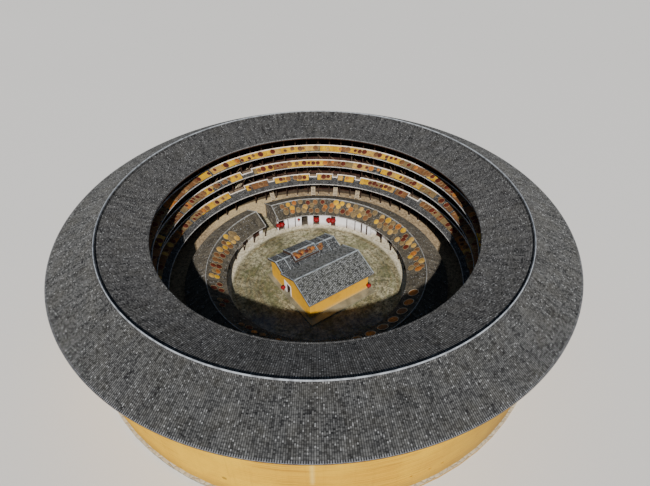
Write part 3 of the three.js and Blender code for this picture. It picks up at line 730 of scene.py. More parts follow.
def tiled_slope(build, place, ribs, courses, thickness, wrap=False):
    """place(across, down, lift) gives points; across runs over 0 to 1, down from ridge to eave.

    Paints: 0 the tiles, 1 the pointed tile ends, 2 the boards below."""
    across = np.linspace(0, 1, 2 * ribs + 1)[: 2 * ribs if wrap else None]
    crest = (np.arange(len(across)) % 2)[:, None]
    section = []
    for i in range(courses):
        section += [(i / courses, -COURSE_STEP - RIB, RIB, 0), ((i + 1) / courses, -RIB, RIB, 0)]
    section[-1] = (1.0, -RIB, RIB, 1)
    section += [(1.0, -TILE_BED, 0, 2), (1.0, -thickness, 0, 2), (0.0, -thickness, 0, 2)]
    down, lift, ribbed, paint = (np.array(values) for values in zip(*section))
    points = place(across[:, None] + 0 * down, down + 0 * across[:, None], lift + ribbed * crest)
    build.tube(points, wrap, paint, 2)


def ring_slope(high, low, start=0.0, end=360.0):
    """A place() for a round roof, from (radius, height) at the ridge to that at the eave."""
    def place(across, down, lift):
        angle = np.radians(start + (end - start) * across)
        r, z = (high[k] + (low[k] - high[k]) * down for k in (0, 1))
        return np.stack([np.cos(angle) * r, np.sin(angle) * r, z + lift], axis=-1)
    return place


# %% [markdown]
# ### The great ring roof
#
# Two slopes meet at a ridge 28.8 m from the axis. The outer one reaches far past the wall to
# keep rain off the earth, and the inner one shelters the galleries. The ridge is a low wall of
# tiles with a band of lime on top, which draws the pale line that shows from far away. It is
# swept in 288 steps, fine enough for the line to look round. The inner eave is pale only on
# its face, with dark tiles on top, so its line shows on the far side and not on the near one.

# %% The great ring roof
FINE = 288
for name, tiles, eave, (ribs, courses) in (("outer", TILES_OUTER, ROOF_OUTER, OUTER_TILES),
                                           ("inner", TILES_INNER, ROOF_INNER, INNER_TILES)):
    build = Build(tiles, TILE_ENDS, BOARDS_WITH_PAINTED_SHADE)
    tiled_slope(build, ring_slope(ROOF_RIDGE, eave), ribs, courses, ROOF_THICKNESS, True)
    build.piece(f"roof_tiles_{name}", [f"main_roof_{name}"])

build = Build(TILES_INNER, LIME)
build.sweep([(-0.2, -0.06), (0.2, -0.07), (0.14, 0.14), (-0.14, 0.14)], steps=FINE, at=ROOF_RIDGE)
build.sweep([(-0.08, 0.14), (0.08, 0.14), (0.07, 0.22), (0.03, 0.28), (-0.03, 0.28), (-0.07, 0.22)],
            steps=FINE, paint=1, at=ROOF_RIDGE)
build.piece("ring_ridge", ["main_ridge"])

build = Build(TILE_ENDS, TILES_INNER)
build.band(-0.01, 0.1, -0.1, 0.05, steps=FINE, at=ROOF_INNER)
build.sweep([(-0.02, 0.05), (0.12, 0.05), (0.12, 0.1), (-0.02, 0.07)], steps=FINE, paint=1, at=ROOF_INNER)
build.piece("inner_eave_edging")

# %% [markdown]
# ### Rafters
#
# Square rafters carry the boards below the tiles, and their ends show at both eaves. Only the
# parts that can be seen are made, 216 of them at each eave, because the long middle lies hidden
# above the rooms.

# %% Rafters below both eaves
RAFTERS, RAFTER = 216, 0.14
build = Build(BEAM)
for azimuth in np.arange(RAFTERS) * 360 / RAFTERS + 0.4:
    for r0, r1, eave in ((33.0, 34.85, ROOF_OUTER), (22.95, 26.4, ROOF_INNER)):
        z0, z1 = (along(r, eave, ROOF_RIDGE) - ROOF_THICKNESS - RAFTER / 2 - 0.005 for r in (r0, r1))
        build.strut((r0, z0), (r1, z1), RAFTER, azimuth)
build.piece("roof_rafters")

# %% [markdown]
# ## Pent roofs
#
# Three narrow roofs run round the court in front of the gallery parapets and keep rain off the
# timber below. Where a flight of stairs comes up, the upper part of the slope is left out for
# headroom, and the lime edge steps round the gap. Those steps are among the clearest marks in
# the photograph, so each roof is built as strips between its gaps, with a lower strip that runs
# on all round.

# %% Pent roofs with their lime edges
PENT_RIBS = PENT_TILES[0]
RIBS_PER_DEGREE = PENT_RIBS / 360


def spans(gaps):
    """The azimuth ranges between the gaps."""
    if not gaps:
        return [(0.0, 360.0)]
    following = gaps[1:] + [(gaps[0][0] + 360, 0)]
    return [(gap[1], after[0]) for gap, after in zip(gaps, following)]


for storey, (lower, drop) in PENTS.items():
    top = FLOORS[storey] + RAIL
    eave = top - drop
    split = (GALLERY - NOTCH, top - drop * NOTCH / (GALLERY - lower))
    build = Build(TILES_PENT, EDGE_LIME, BOARDS_WITH_PAINTED_SHADE, EAVE_LIME)
    tiled_slope(build, ring_slope(split, (lower, eave)), PENT_RIBS, 5, PENT_THICKNESS, True)
    for start, end in spans(NOTCHES[storey]):
        first, last = round(start * RIBS_PER_DEGREE), round(end * RIBS_PER_DEGREE)
        strip = ring_slope((GALLERY - 0.02, top), split, first / RIBS_PER_DEGREE, last / RIBS_PER_DEGREE)
        tiled_slope(build, strip, last - first, 2, PENT_THICKNESS, last - first == PENT_RIBS)
    # Lime fillet along the upper edge, round the notches, and a thin one at the eave
    for start, end in spans(NOTCHES[storey]):
        build.sweep([(-0.14, -0.07), (0.0, -0.07), (0.0, 0.05), (-0.1, 0.05)], start, end,
                    max(2, round((end - start) / 2.5)), 1, (GALLERY, top))
    for gap in NOTCHES[storey]:
        build.sweep([(-0.12, -0.07), (0.0, -0.07), (0.0, 0.07), (-0.09, 0.07)], *gap, 3, 1, split)
        for azimuth in gap:
            build.strut((split[0] - 0.1, split[1]), (GALLERY - 0.02, top), 0.1, azimuth, 1)
    build.sweep([(-0.01, -0.1), (0.07, -0.1), (0.07, 0.0), (-0.01, -0.03)], paint=3, at=(lower, eave))
    build.piece(f"pent_tiles_{storey + 1}", [f"pent_roof_{storey + 1}"])

# %% [markdown]
# ## Galleries
#
# A post stands at each bay line. Between the posts runs a boarded parapet with a handrail, a
# ring beam carries the floor above, and a raking strut on each post carries the pent roof. The
# solids have one ring per storey for all of this. Here each member is its own bar, since the
# dark gaps between them are what makes a gallery look like timber.

# %% Posts, parapets and struts of the upper storeys
def ceiling(storey, r):
    if storey < 3:
        return FLOORS[storey + 1] - SLAB
    return along(r, ROOF_INNER, ROOF_RIDGE) - ROOF_THICKNESS


for storey, (lower, drop) in PENTS.items():
    floor, top, reach = FLOORS[storey], ceiling(storey, POST[0]) - 0.03, lower + 0.35
    under = along(reach, (lower, floor + RAIL - drop), (GALLERY, floor + RAIL)) - PENT_THICKNESS - 0.05
    build = Build(TIMBER, BEAM, RAILING)
    for azimuth in np.arange(BAYS) * BAY:
        build.boxes(azimuth, (*POST, -0.1, 0.1, floor, top + 0.02, 0))
        build.strut((GALLERY, floor - 0.55), (reach, under), 0.1, azimuth)
        build.strut((GALLERY, under), (reach, under), 0.09, azimuth)
    # Boards, handrail, foot rail and ring beam
    for r0, r1, z0, z1, paint in ((24.52, 24.6, floor, floor + 0.9, 2),
                                  (24.48, 24.68, floor + 0.86, floor + RAIL, 1),
                                  (24.6, 24.66, floor + 0.02, floor + 0.16, 1),
                                  (24.53, 24.69, top - 0.26, top, 1)):
        build.band(r0, r1, z0, z1, steps=BAYS, paint=paint)
    build.piece(f"gallery_joinery_{storey + 1}", [f"gallery_parapet_{storey + 1}"])

# %% [markdown]
# ### Drying poles
#
# Families hang washing and bundles of grain on bamboo poles in the gallery openings. Their thin
# pale lines show in the photograph on two storeys. The places are drawn from a fixed seed, so
# the scene is the same in every run.

# %% Bamboo poles for drying, leant across some gallery openings
POLE_PLACES = np.arange(196.0, 284.0, 5.4)
build = Build(RAILING)
rng_poles = np.random.default_rng(3)
for storey in (1, 2):
    for azimuth in POLE_PLACES:
        if rng_poles.random() < 0.6:
            side, low = float(rng_poles.choice([-1.0, 1.0])), FLOORS[storey] + 1.05
            high = low + rng_poles.uniform(0.6, 0.9)
            lean = side * rng_poles.uniform(0.25, 0.5)
            build.bar((24.42, -lean, low), (24.36, lean, high), 0.05, 0.05, azimuth)
build.piece("drying_poles")

# %% [markdown]
# ### The arcade
#
# On the ground the ring is open to the lane, with tall posts on small plinths of granite and a
# beam across them. The posts are slimmer than those of the solids, which stand for two bays
# each.

# %% The arcade of the ground storey
build = Build(TIMBER, BEAM, GRANITE)
top, plinth = FLOORS[1] - SLAB, COURT + 0.18
for azimuth in np.arange(BAYS) * BAY:
    if azimuth != GATE:
        build.boxes(azimuth, (24.5, 24.68, -0.09, 0.09, plinth, top - 0.02, 0),
                    (24.47, 24.71, -0.13, 0.13, COURT, plinth, 2))
        build.strut((24.5, COURT + 2.1), (22.75, 5.08), 0.09, azimuth)
build.band(24.5, 24.7, top - 0.32, top, steps=BAYS, paint=1)
build.piece("arcade_joinery", ["arcade_posts_1"])

# %% [markdown]
# ## Room fronts
#
# Each bay is one room. Its front is a light timber wall with a door between two boarded panels,
# and a small barred window beside it. Every sixth door stands open, as in the solid model. A
# front could be a picture on a flat wall, but light falls into it from the court, so frames,
# boards and bars are real.

# %% Timber fronts of four storeys
def room_front(build, storey, bay):
    """Paints: 0 the boards, 1 the leaf of the door, 2 frames and bars."""
    azimuth = bay * BAY + BAY / 2
    if storey == 0 and abs(azimuth - GATE) < BAY:
        return
    floor, r, door = FLOORS[storey], ROOM_FRONT, 0.45
    top, head, half = ceiling(storey, r) - 0.03, floor + 2.0, r * math.tan(math.radians(BAY / 2))
    sill, lintel, left, right = floor + 1.0, floor + 1.7, door + 0.12, half - 0.1
    for y0, y1, z0, z1 in ((-half, -door, floor, head), (door, half, floor, sill), (door, half, lintel, head),
                           (door, left, sill, lintel), (right, half, sill, lintel), (-half, half, head, top)):
        build.boxes(azimuth, (r - 0.05, r + 0.05, y0, y1, z0, z1, 0))
    for y in np.linspace(left, right, 6)[1:-1]:
        build.boxes(azimuth, (r - 0.02, r + 0.02, y - 0.012, y + 0.012, sill, lintel, 2))
    # Jambs, head and window sill, then the rail across the bay and the post on the bay line
    build.boxes(azimuth, (r - 0.09, r + 0.07, -door, -door + 0.07, floor, head, 2),
                (r - 0.09, r + 0.07, door - 0.07, door, floor, head, 2),
                (r - 0.09, r + 0.07, -door, door, head - 0.07, head + 0.05, 2),
                (r - 0.1, r + 0.06, left - 0.05, right + 0.05, sill - 0.06, sill, 2),
                (r - 0.08, r - 0.03, -half, half, top - 0.5, top - 0.38, 2),
                (r - 0.09, r + 0.09, half - 0.09, half + 0.06, floor, top - 0.01, 2))
    if bay % 6:
        build.boxes(azimuth, (r - 0.03, r + 0.01, -door + 0.07, door - 0.07, floor + 0.02, head - 0.07, 1),
                    (r - 0.045, r - 0.02, -0.27, 0.27, floor + 0.15, floor + 0.85, 1),
                    (r - 0.045, r - 0.02, -0.27, 0.27, sill, floor + 1.8, 1))


for storey in range(4):
    build = Build(BOARDS_WITH_PAINTED_SHADE, DOORS, TIMBER)
    for bay in range(BAYS):
        room_front(build, storey, bay)
    build.piece(f"room_joinery_{storey + 1}", [f"room_fronts_{storey + 1}"])

# %% [markdown]
# ## Stairs
#
# A tulou has steep flights of planks between two strings. The solids have plain stepped wedges
# there. Each flight is built again from its strings, dark treads and pale risers by one
# function that works along a straight line between two landings. The pale wood is kept brighter
# than it would be in the shade of the galleries, so it is partly painted light. The upper
# flight has its rails and posts too, because it stands free in the photograph.

# %% Flights
def flight(build, start, end, width, azimuth, rail=0.0):
    """start and end are the foot and head of the flight, in the plane of an azimuth."""
    start, end = np.array(start), np.array(end)
    run, up = (end - start) * (1.0, 1.0, 0.0), np.array([0.0, 0.0, 1.0])
    ahead, rise = run / (RISERS - 1), (end[2] - start[2]) / RISERS
    across = np.array([-run[1], run[0], 0.0]) / np.linalg.norm(run)
    for side in (-1, 1):
        foot, head = (at + across * side * (width / 2 - 0.03) for at in (start, end))
        build.bar(foot + 0.1 * up, head - 0.1 * up, 0.06, 0.24, azimuth)
        if rail:
            build.bar(foot + rail * up, head + rail * 0.9 * up, 0.08, 0.08, azimuth)
            build.bar(foot + rail * 0.5 * up, head + rail * 0.5 * up, 0.05, 0.05, azimuth)
            for share in (0.05, 0.28, 0.5, 0.72, 0.95):
                at = foot + (end - start) * share
                build.bar(at, at + rail * up, 0.06, 0.06, azimuth)
    for step in range(1, RISERS):
        at = start + ahead * (step - 1) + (rise * step - 0.03) * up
        build.bar(at, at + ahead * 1.1, width - 0.12, 0.05, azimuth, 1)
        middle, reach = at + ahead * 0.98 + rise / 2 * up, across * (width / 2 - 0.06)
        build.bar(middle - reach, middle + reach, 0.02, rise, azimuth)


for number, azimuth in enumerate(GROUND_FLIGHTS):
    build = Build(PALE_WOOD_WITH_PAINTED_LIGHT, BOARDS_WITH_PAINTED_SHADE)
    flight(build, (FLIGHT_FOOT, 0.0, COURT), (FLIGHT_HEAD, 0.0, FLOORS[1]), FLIGHT_WIDTH, azimuth)
    build.piece(f"flight_ground_{number + 1}", [f"stairs_ground_{number + 1}"])
upper = UPPER_FLIGHT
middle, half_run = (upper.inner + upper.outer) / 2, upper.run / 2
build = Build(PALE_WOOD_WITH_PAINTED_LIGHT, BOARDS_WITH_PAINTED_SHADE)
flight(build, (middle, half_run, FLOORS[1]), (middle, -half_run, FLOORS[2]), upper.outer - upper.inner,
       upper.azimuth, upper.rail)
build.piece("flight_upper", ["stairs_upper"])

# %% [markdown]
# ## The inner ring
#
# The low ring in the court has one storey, with a gable roof of its own, and is parted by a
# passage in front of the gate. Its two slopes are laid with the same tile function as the great
# roof, and a slim band of lime runs along the ridge and down both gables.

# %% Roof of the inner ring
for name, tiles, ends, eave, (ribs, courses) in (("lane", TILES_LANE, TILE_ENDS, INNER_OUT, LANE_TILES),
                                                 ("court", TILES_COURT, EAVE_LIME, INNER_EAVE, COURT_TILES)):
    build = Build(tiles, ends, BOARDS_WITH_PAINTED_SHADE)
    ribs = round(ribs * (INNER_TO - INNER_FROM) / 360)
    tiled_slope(build, ring_slope(INNER_RIDGE, eave, INNER_FROM, INNER_TO), ribs, courses, INNER_THICKNESS)
    build.piece(f"low_roof_{name}", [f"inner_ring_roof_{name}"])
build = Build(LOW_LIME)
build.sweep([(-0.07, -0.04), (0.07, -0.04), (0.05, 0.11), (0.0, 0.14), (-0.05, 0.11)],
            INNER_FROM, INNER_TO, 140, at=INNER_RIDGE)
for azimuth, y in ((INNER_FROM, 0.08), (INNER_TO, -0.08)):
    for r, z in (INNER_EAVE, INNER_OUT):
        build.bar((INNER_RIDGE[0], y, INNER_RIDGE[1] + 0.03), (r, y, z + 0.03), 0.11, 0.13, azimuth)
build.piece("low_ridge", ["inner_ring_ridge"])

# %% [markdown]
# ### Posts of the low ring
#
# Over most of the ring the wall lies back behind a row of slim posts, one at each second bay,
# with a beam above. The posts stand where the solid ones stand.

# %% Posts and beam below the court eave
def low_ceiling(r):
    """The underside of the low ring's roof over the court side, less a gap."""
    return along(r, INNER_EAVE, INNER_RIDGE) - INNER_THICKNESS - 0.02


build = Build(TIMBER, BEAM)
top = low_ceiling(14.6)
build.band(14.6, 14.78, top - 0.24, top, INNER_FROM, FORWARD_FROM - 0.1, 56, 1)
for azimuth in np.arange(INNER_FROM, FORWARD_FROM - 1, 2 * BAY):
    build.boxes(azimuth, (14.62, 14.76, -0.07, 0.07, COURT, top - 0.2, 0),
                (14.58, 14.8, -0.11, 0.11, COURT, COURT + 0.14, 0))
    build.strut((14.62, top - 0.75), (14.2, top - 0.22), 0.08, azimuth)
build.piece("low_ring_posts", ["inner_ring_posts"])

# %% [markdown]
# ### The white wall
#
# Between the posts the wall is limewashed. Each module of two bays has a boarded door and a
# barred window. Openings could be cut with booleans, but that is slow and leaves long thin
# faces, so the wall is laid as strips: below, above and between its openings.

# %% The recessed white wall, with a door and a barred window in each module
door, head = INNER_DOOR[0] / 2, COURT + INNER_DOOR[1]


def door_frame(build, azimuth, x0, x1, jamb, lintel):
    """Two jambs and a lintel round a door of the low ring."""
    wide = door + jamb
    for y0, y1, z0 in ((-wide, -door, COURT), (door, wide, COURT), (-wide, wide, head)):
        build.boxes(azimuth, (x0, x1, y0, y1, z0, head + lintel, 2))


build = Build(PLASTER, DOORS, TIMBER)
face, back = RECESSED - 0.08, RECESSED + 0.1
module, top = RECESSED * math.tan(math.radians(BAY)) + 0.01, low_ceiling(RECESSED - 0.1) - 0.01
sill, lintel, left, right = COURT + 1.0, COURT + 1.75, 0.68, 1.22
for number, azimuth in enumerate(np.arange(INNER_FROM + BAY, FORWARD_FROM, 2 * BAY)):
    for y0, y1, z0, z1 in ((-module, -door, COURT, head), (-module, module, head, top),
                           (door, left, COURT, head), (right, module, COURT, head),
                           (left, right, COURT, sill), (left, right, lintel, head)):
        build.boxes(azimuth, (face, back, y0, y1, z0, z1, 0))
    for y in np.linspace(left, right, 5):
        build.boxes(azimuth, (RECESSED - 0.03, RECESSED + 0.01, y - 0.015, y + 0.015, sill, lintel, 2))
    door_frame(build, azimuth, face - 0.04, RECESSED, 0.07, 0.07)
    if number % 3 != 2:
        for y0, y1 in ((-door, -0.01), (0.01, door)):
            build.boxes(azimuth, (RECESSED - 0.03, RECESSED + 0.02, y0, y1, COURT, head, 1))
build.piece("low_ring_wall", ["inner_ring_court_wall"])

# %% [markdown]
# ### The forward wall
#
# On the left of the gate the wall stands forward, right below the eave, with three open
# doorways, one closed door and dark posts on its face. Their azimuths were read from the
# photograph one by one, since they follow no rhythm.

# %% The forward white wall, with three doorways and dark posts on its face
FORWARD_POSTS = {197.8: 0.12, 202.1: 0.12, 207.3: 0.07, 213.6: 0.07, 251.6: 0.07, 257.0: 0.07}
CLOSED_DOOR, BOARDED_FROM = 223.8, 238.6
build = Build(PLASTER, DOORS, TIMBER)
face, back, top = FORWARD - 0.1, FORWARD + 0.1, low_ceiling(FORWARD - 0.1) - 0.01
half_door = math.degrees(door / FORWARD)
edges = [FORWARD_FROM - 360.0]
for azimuth in FORWARD_DOORS:
    edges += [azimuth - half_door, azimuth + half_door]
    build.band(face, back, head, top, *edges[-2:], 2)
    door_frame(build, azimuth, face - 0.05, face + 0.05, 0.08, 0.1)
edges.append(INNER_TO - 360.0)
for start, end in zip(edges[::2], edges[1::2]):
    build.band(face, back, COURT, top, start, end, max(1, round((end - start) / 2)))
for azimuth, half in FORWARD_POSTS.items():
    build.boxes(azimuth, (face - 0.06, face + 0.02, -half, half, COURT, top, 2))
build.boxes(CLOSED_DOOR, (face - 0.03, face + 0.02, -0.42, 0.42, COURT, head, 1))
build.band(face - 0.04, face + 0.02, top - 0.62, top, BOARDED_FROM, INNER_TO - 360.0, 12, 1)
build.boxes(FORWARD_FROM, (FORWARD, RECESSED + 0.1, 0.0, 0.2, COURT, top, 0))
build.piece("low_ring_white_front", ["inner_ring_white_front"])

# %% [markdown]
# ## The hall
#
# The hall where the clan meets has a large roof with its ridge across the axis. In front of it
# lies a lower roof in three parts, the middle one raised. The slopes are straight here, so
# `hall_slope` gives their places in x and y, and the tile function stays the same.

# %% Roofs of the hall
def pitched(roof, y, rise=0.0):
    """The height of a hall roof over a place y."""
    return roof.top + rise - HALL_PITCH * abs(y - roof.ridge)


def hall_slope(x0, x1, ridge_y, ridge_z, eave_y):
    """A place() for a straight slope from a ridge to an eave."""
    def place(across, down, lift):
        y = ridge_y + (eave_y - ridge_y) * down
        z = ridge_z - HALL_PITCH * np.abs(y - ridge_y) + lift
        return np.stack([x0 + (x1 - x0) * across, y, z], axis=-1)
    return place


def hall_roof(name, tiles, x0, x1, ridge_y, ridge_z, eaves, thickness, replaced):
    """One roof, its sides moved to the nearest rib."""
    build = Build(tiles, TILE_ENDS, BOARDS_WITH_PAINTED_SHADE)
    first, last = round((x0 + HALL_EDGE) / HALL_RIB), round((x1 + HALL_EDGE) / HALL_RIB)
    x0, x1 = first * HALL_RIB - HALL_EDGE, last * HALL_RIB - HALL_EDGE
    for eave in eaves:
        courses = max(3, round(abs(eave - ridge_y) / HALL_COURSE))
        tiled_slope(build, hall_slope(x0, x1, ridge_y, ridge_z, eave), last - first, courses, thickness)
    build.piece(name, [replaced])


hall_roof("hall_tiles_main", TILES_MAIN, MAIN.left, MAIN.right, MAIN.ridge, MAIN.top,
          (MAIN.back, MAIN.valley), HALL_THICKNESS, "hall_main_roof")
for side, x0, x1 in (("left", FRONT.left, MIDDLE.left), ("right", MIDDLE.right, FRONT.right)):
    hall_roof(f"hall_tiles_{side}", TILES_FRONT, x0, x1, FRONT.ridge, FRONT.top,
              (FRONT.valley, FRONT.front), HALL_THICKNESS, f"hall_front_roof_{side}")
hall_roof("hall_tiles_middle", TILES_FRONT, MIDDLE.left, MIDDLE.right, FRONT.ridge,
          FRONT.top + MIDDLE.rise, (MIDDLE.back, FRONT.front),
          HALL_THICKNESS + MIDDLE.rise, "hall_front_roof_middle")
hall_roof("hall_tiles_foot", TILES_FRONT, MIDDLE.left, MIDDLE.right, MIDDLE.back,
          pitched(FRONT, MIDDLE.back), (FRONT.valley,), HALL_THICKNESS, "hall_front_roof_middle")

# %% [markdown]
# ### Lime bands of the hall
#
# Ridges and verges are capped with lime against the wind. A band could be a bevelled curve, but
# it has only four or five sides, so a short tube between two points is simpler and stays exact
# on the slope.

# %% Ridges, verges and lime bands of the hall
RISE = MIDDLE.rise
RIDGE_OUTLINE = [(-0.07, -0.09), (0.07, -0.09), (0.056, 0.096), (0.0, 0.12), (-0.056, 0.096)]
build = Build(HALL_LIME)
for x0, x1, roof, rise in ((MAIN.left, MAIN.right, MAIN, 0.0), (FRONT.left, MIDDLE.left, FRONT, 0.0),
                           (MIDDLE.right, FRONT.right, FRONT, 0.0), (MIDDLE.left, MIDDLE.right, FRONT, RISE)):
    y, z = roof.ridge, roof.top + rise
    build.tube(np.array([[[x, y + dy, z + dz] for dy, dz in RIDGE_OUTLINE] for x in (x0, x1)]), False)
for xs, roof, rise, ends, width in (
        ((MAIN.left + 0.08, MAIN.right - 0.08), MAIN, 0.0, (MAIN.back, MAIN.valley), 0.08),
        ((FRONT.left + 0.08, FRONT.right - 0.08), FRONT, 0.0, (FRONT.valley, FRONT.front), 0.08),
        ((-3.65, 4.1), FRONT, 0.0, (FRONT.valley, FRONT.front), 0.06),
        ((MIDDLE.left + 0.07, MIDDLE.right - 0.07), FRONT, RISE, (MIDDLE.back, FRONT.front), 0.08)):
    for x in xs:
        for y in ends:
            build.bar((x, roof.ridge, roof.top + rise + 0.01), (x, y, pitched(roof, y, rise) + 0.01),
                      width, 0.17)
build.piece("hall_lime_bands", ["hall_main_ridge", "hall_front_ridge_left",
                                        "hall_front_ridge_middle", "hall_front_ridge_right"])

# %% [markdown]
# ### Door surrounds and windows of the hall
#
# The side doors have a white surround and a dark timber lining, and the front has a door between two
# windows. The lining reaches 0.42 m into each side doorway and keeps the opening dark, partly as
# painted shade. They lie on the face of the solid wall, so they are thin closed boxes set a little
# proud of it.

# %% Door surrounds and windows of the hall
build = Build(PLASTER, DOORS, TIMBER)
# The timber lining reaches 0.42 m into each side doorway and keeps the opening dark: partly painted shade
for side in (-1, 1):
    for reach, proud, paint, rows in (
            (0.1, 0.05, 0, ((-0.95, -0.2, HALL_FLOOR, 3.6), (0.8, 0.98, HALL_FLOOR, 3.6),
                            (-0.2, 0.8, 3.4, 3.6))),
            (0.42, 0.02, 2, ((-0.2, -0.14, HALL_FLOOR, 3.4), (0.74, 0.8, HALL_FLOOR, 3.4),
                             (-0.14, 0.74, 3.34, 3.4)))):
        x0, x1 = sorted((side * (HALL_SIDE - reach), side * (HALL_SIDE + proud)))
        build.boxes(0, *((x0, x1, *row, paint) for row in rows))
for x in (*np.linspace(-4.0, -2.8, 7), *np.linspace(2.8, 4.0, 7)):
    build.boxes(0, (x - 0.03, x + 0.03, HALL_FRONT - 0.1, HALL_FRONT, 2.4, 3.6, 2))
for x0, x1, z0 in ((-0.9, -0.8, HALL_FLOOR), (0.8, 0.9, HALL_FLOOR), (-0.9, 0.9, 3.7)):
    build.boxes(0, (x0, x1, HALL_FRONT - 0.25, HALL_FRONT + 0.1, z0, 3.8, 2))
build.piece("hall_joinery")

# %% [markdown]
# ## Windows of the outer wall
#
# The outer wall is almost blind, for defence. Small windows sit high under the eave, each with
# a timber frame and upright bars. The opening itself is already cut through the solid wall, so
# the frame is set into it, a little behind the face.

# %% Window frames
WINDOWS, FRAME_RADIUS = 24, 32.55
build = Build(TIMBER)
half, sill, head, r = WINDOW[0] / 2, WINDOW_SILL, WINDOW_SILL + WINDOW[1], FRAME_RADIUS
for azimuth in (np.arange(WINDOWS) + 0.5) * 360 / WINDOWS:
    build.boxes(azimuth, (r - 0.08, r + 0.02, -half, -half + 0.07, sill, head, 0),
                (r - 0.08, r + 0.02, half - 0.07, half, sill, head, 0),
                (r - 0.1, r + 0.04, -half, half, sill, sill + 0.08, 0),
                (r - 0.08, r + 0.02, -half, half, head - 0.08, head, 0),
                *((r - 0.05, r, y - 0.02, y + 0.02, sill, head, 0) for y in (-0.14, 0.0, 0.14)))
build.piece("window_frames")

# %% [markdown]
# ## Crops on the roofs
#
# In autumn the roofs are drying floors: mats and round cane trays with maize, persimmons,
# chillies and roots lie wherever the sun reaches. `heap` makes one flat rounded pile from an
# outline and a few rings, and `tray` gives it a rim. They could be scattered with a particle
# system, but then nothing would keep them off the gaps over the stairs. So a loop walks round
# each roof, skips the gaps, and draws kind and size from a fixed seed. The mats on the shaded
# sides are given darker crops, as painted shade.

# %% Trays and mats on the pent roofs
SUNNY_FROM, SUNNY_TO = 185, 288
SUNNY_SHARES, PAINTED_SHADE_SHARES = [0.7, 0.18, 0.01, 0.06, 0.05], [0.08, 0.12, 0.04, 0.4, 0.36]
CROP_INNER, MAT_OUTER, TRAY_OUTER = 23.2, 24.32, 24.28
rng = np.random.default_rng(7)


def heap(build, outline, rows, centre, slope, kind):
    """A tray or mat at centre = (radius, azimuth, height); slope is the rise along the radius.

    rows are (share of the outline, height, whether the crop starts above it)."""
    r, azimuth, z = centre
    points = np.array([[[r + x * share, y * share, z + height + slope * x * share] for x, y in outline]
                       for share, height, _ in rows])
    paint = np.array([[kind if crop else 0] for _, _, crop in rows[:-1]])
    build.tube(turn(points, azimuth), False, paint, (0, kind))


def circle(sides):
    angles = np.linspace(0, 2 * math.pi, sides, endpoint=False)
    return np.stack([np.cos(angles), np.sin(angles)], axis=-1)


def tray(build, centre, slope, radius, kind):
    rows = [(1.0, 0.0, 0), (1.0, 0.07, 0), (0.93, 0.07, 0), (0.9, 0.03, 1), (0.6, 0.08, 1), (0.25, 0.11, 1)]
    heap(build, circle(14) * radius, rows, centre, slope, kind)


for storey, (lower, drop) in PENTS.items():
    build = Build(CANE, *CROPS)
    slope = drop / (GALLERY - lower)
    axis_z = FLOORS[storey] + RAIL - slope * GALLERY
    for first, last in spans(NOTCHES[storey]):
        azimuth = first + 0.5
        while azimuth < last - 0.8:
            end = min(azimuth + rng.uniform(2.0, 8.0), last - 0.4)
            # Painted shade: outside the sunny arc the mats get darker crops
            shares = SUNNY_SHARES if SUNNY_FROM < azimuth % 360 < SUNNY_TO else PAINTED_SHADE_SHARES
            kind = int(rng.choice([CORN, PALE, PERSIMMON, ROOT, LEAF], p=shares))
            if rng.random() < 0.95:
                r0 = CROP_INNER + rng.uniform(-0.06, 0.12)
                r1 = MAT_OUTER + rng.uniform(-0.05, 0.0)
                rounded = ((r0, 0.0), (r1, 0.0), (r1, 0.06), ((r0 + r1) / 2, 0.1), (r0, 0.05))
                section = [(r, axis_z + slope * r + lift) for r, lift in rounded]
                build.sweep(section, azimuth, end, max(1, round((end - azimuth) / 1.5)), kind)
            azimuth = end + rng.choice([0.1, 1.0], p=[0.75, 0.25])
    azimuth = rng.uniform(0.0, 3.0)
    while azimuth < 358.0:
        if not any(gap[0] - 1.2 < azimuth % 360 < gap[1] + 1.2 for gap in NOTCHES[storey]):
            size = float(rng.choice([0.32, 0.42, 0.5, 0.54], p=[0.3, 0.25, 0.25, 0.2]))
            r = rng.uniform(CROP_INNER + size, TRAY_OUTER - size)
            kind = int(rng.choice([CHILLI, ROOT, PERSIMMON, PALE], p=[0.5, 0.34, 0.06, 0.1]))
            tray(build, (r, azimuth, axis_z + slope * r + 0.1), slope, size, kind)
        azimuth += rng.choice([1.4, 2.1, 3.4, 5.6], p=[0.25, 0.35, 0.25, 0.15])
    build.piece(f"crops_pent_{storey + 1}")

# %% [markdown]
# ### Trays on the inner ring
#
# On the inner ring the trays lie in loose rows: three of them on the far side, one row of large
# brown trays near the camera, and none by the passage. A table of arcs says how many lie where,
# which is easier to tune against the photograph than one rule for the whole ring.

# %% Trays on the inner ring
TRAY_ARCS = [
    # from, to, rows of radii, share of places with a tray, sizes, shares of the kinds
    (296, 312, (16.2, 15.6, 15.0), 0.95, (0.42, 0.54), (0.12, 0.08, 0.04, 0.14, 0.38, 0.24)),
    (312, 338, (15.9, 15.2), 1.0, (0.42, 0.54), (0.1, 0.1, 0.16, 0.24, 0.2, 0.2)),
    (338, 375, (15.9, 15.0), 0.55, (0.38, 0.5), (0.05, 0.1, 0.3, 0.4, 0.1, 0.05)),
    (375, 430, (15.6,), 0.5, (0.4, 0.5), (0.04, 0.1, 0.3, 0.5, 0.06, 0.0)),
    (500, 555, (16.3, 15.7, 15.0), 0.8, (0.42, 0.56), (0.1, 0.12, 0.08, 0.18, 0.24, 0.28)),
    (555, 622, (16.3, 15.6, 14.9), 0.88, (0.4, 0.54), (0.1, 0.12, 0.1, 0.16, 0.12, 0.4)),
]
TRAY_SPACING, NEAR_RADIUS = 4.4, 15.5
NEAR_ROW = {75.8: ROOT, 83.4: PERSIMMON, 91.2: ROOT, 98.6: PERSIMMON, 106.4: ROOT, 114.0: PERSIMMON,
            121.8: PERSIMMON}
build = Build(CANE, *CROPS)
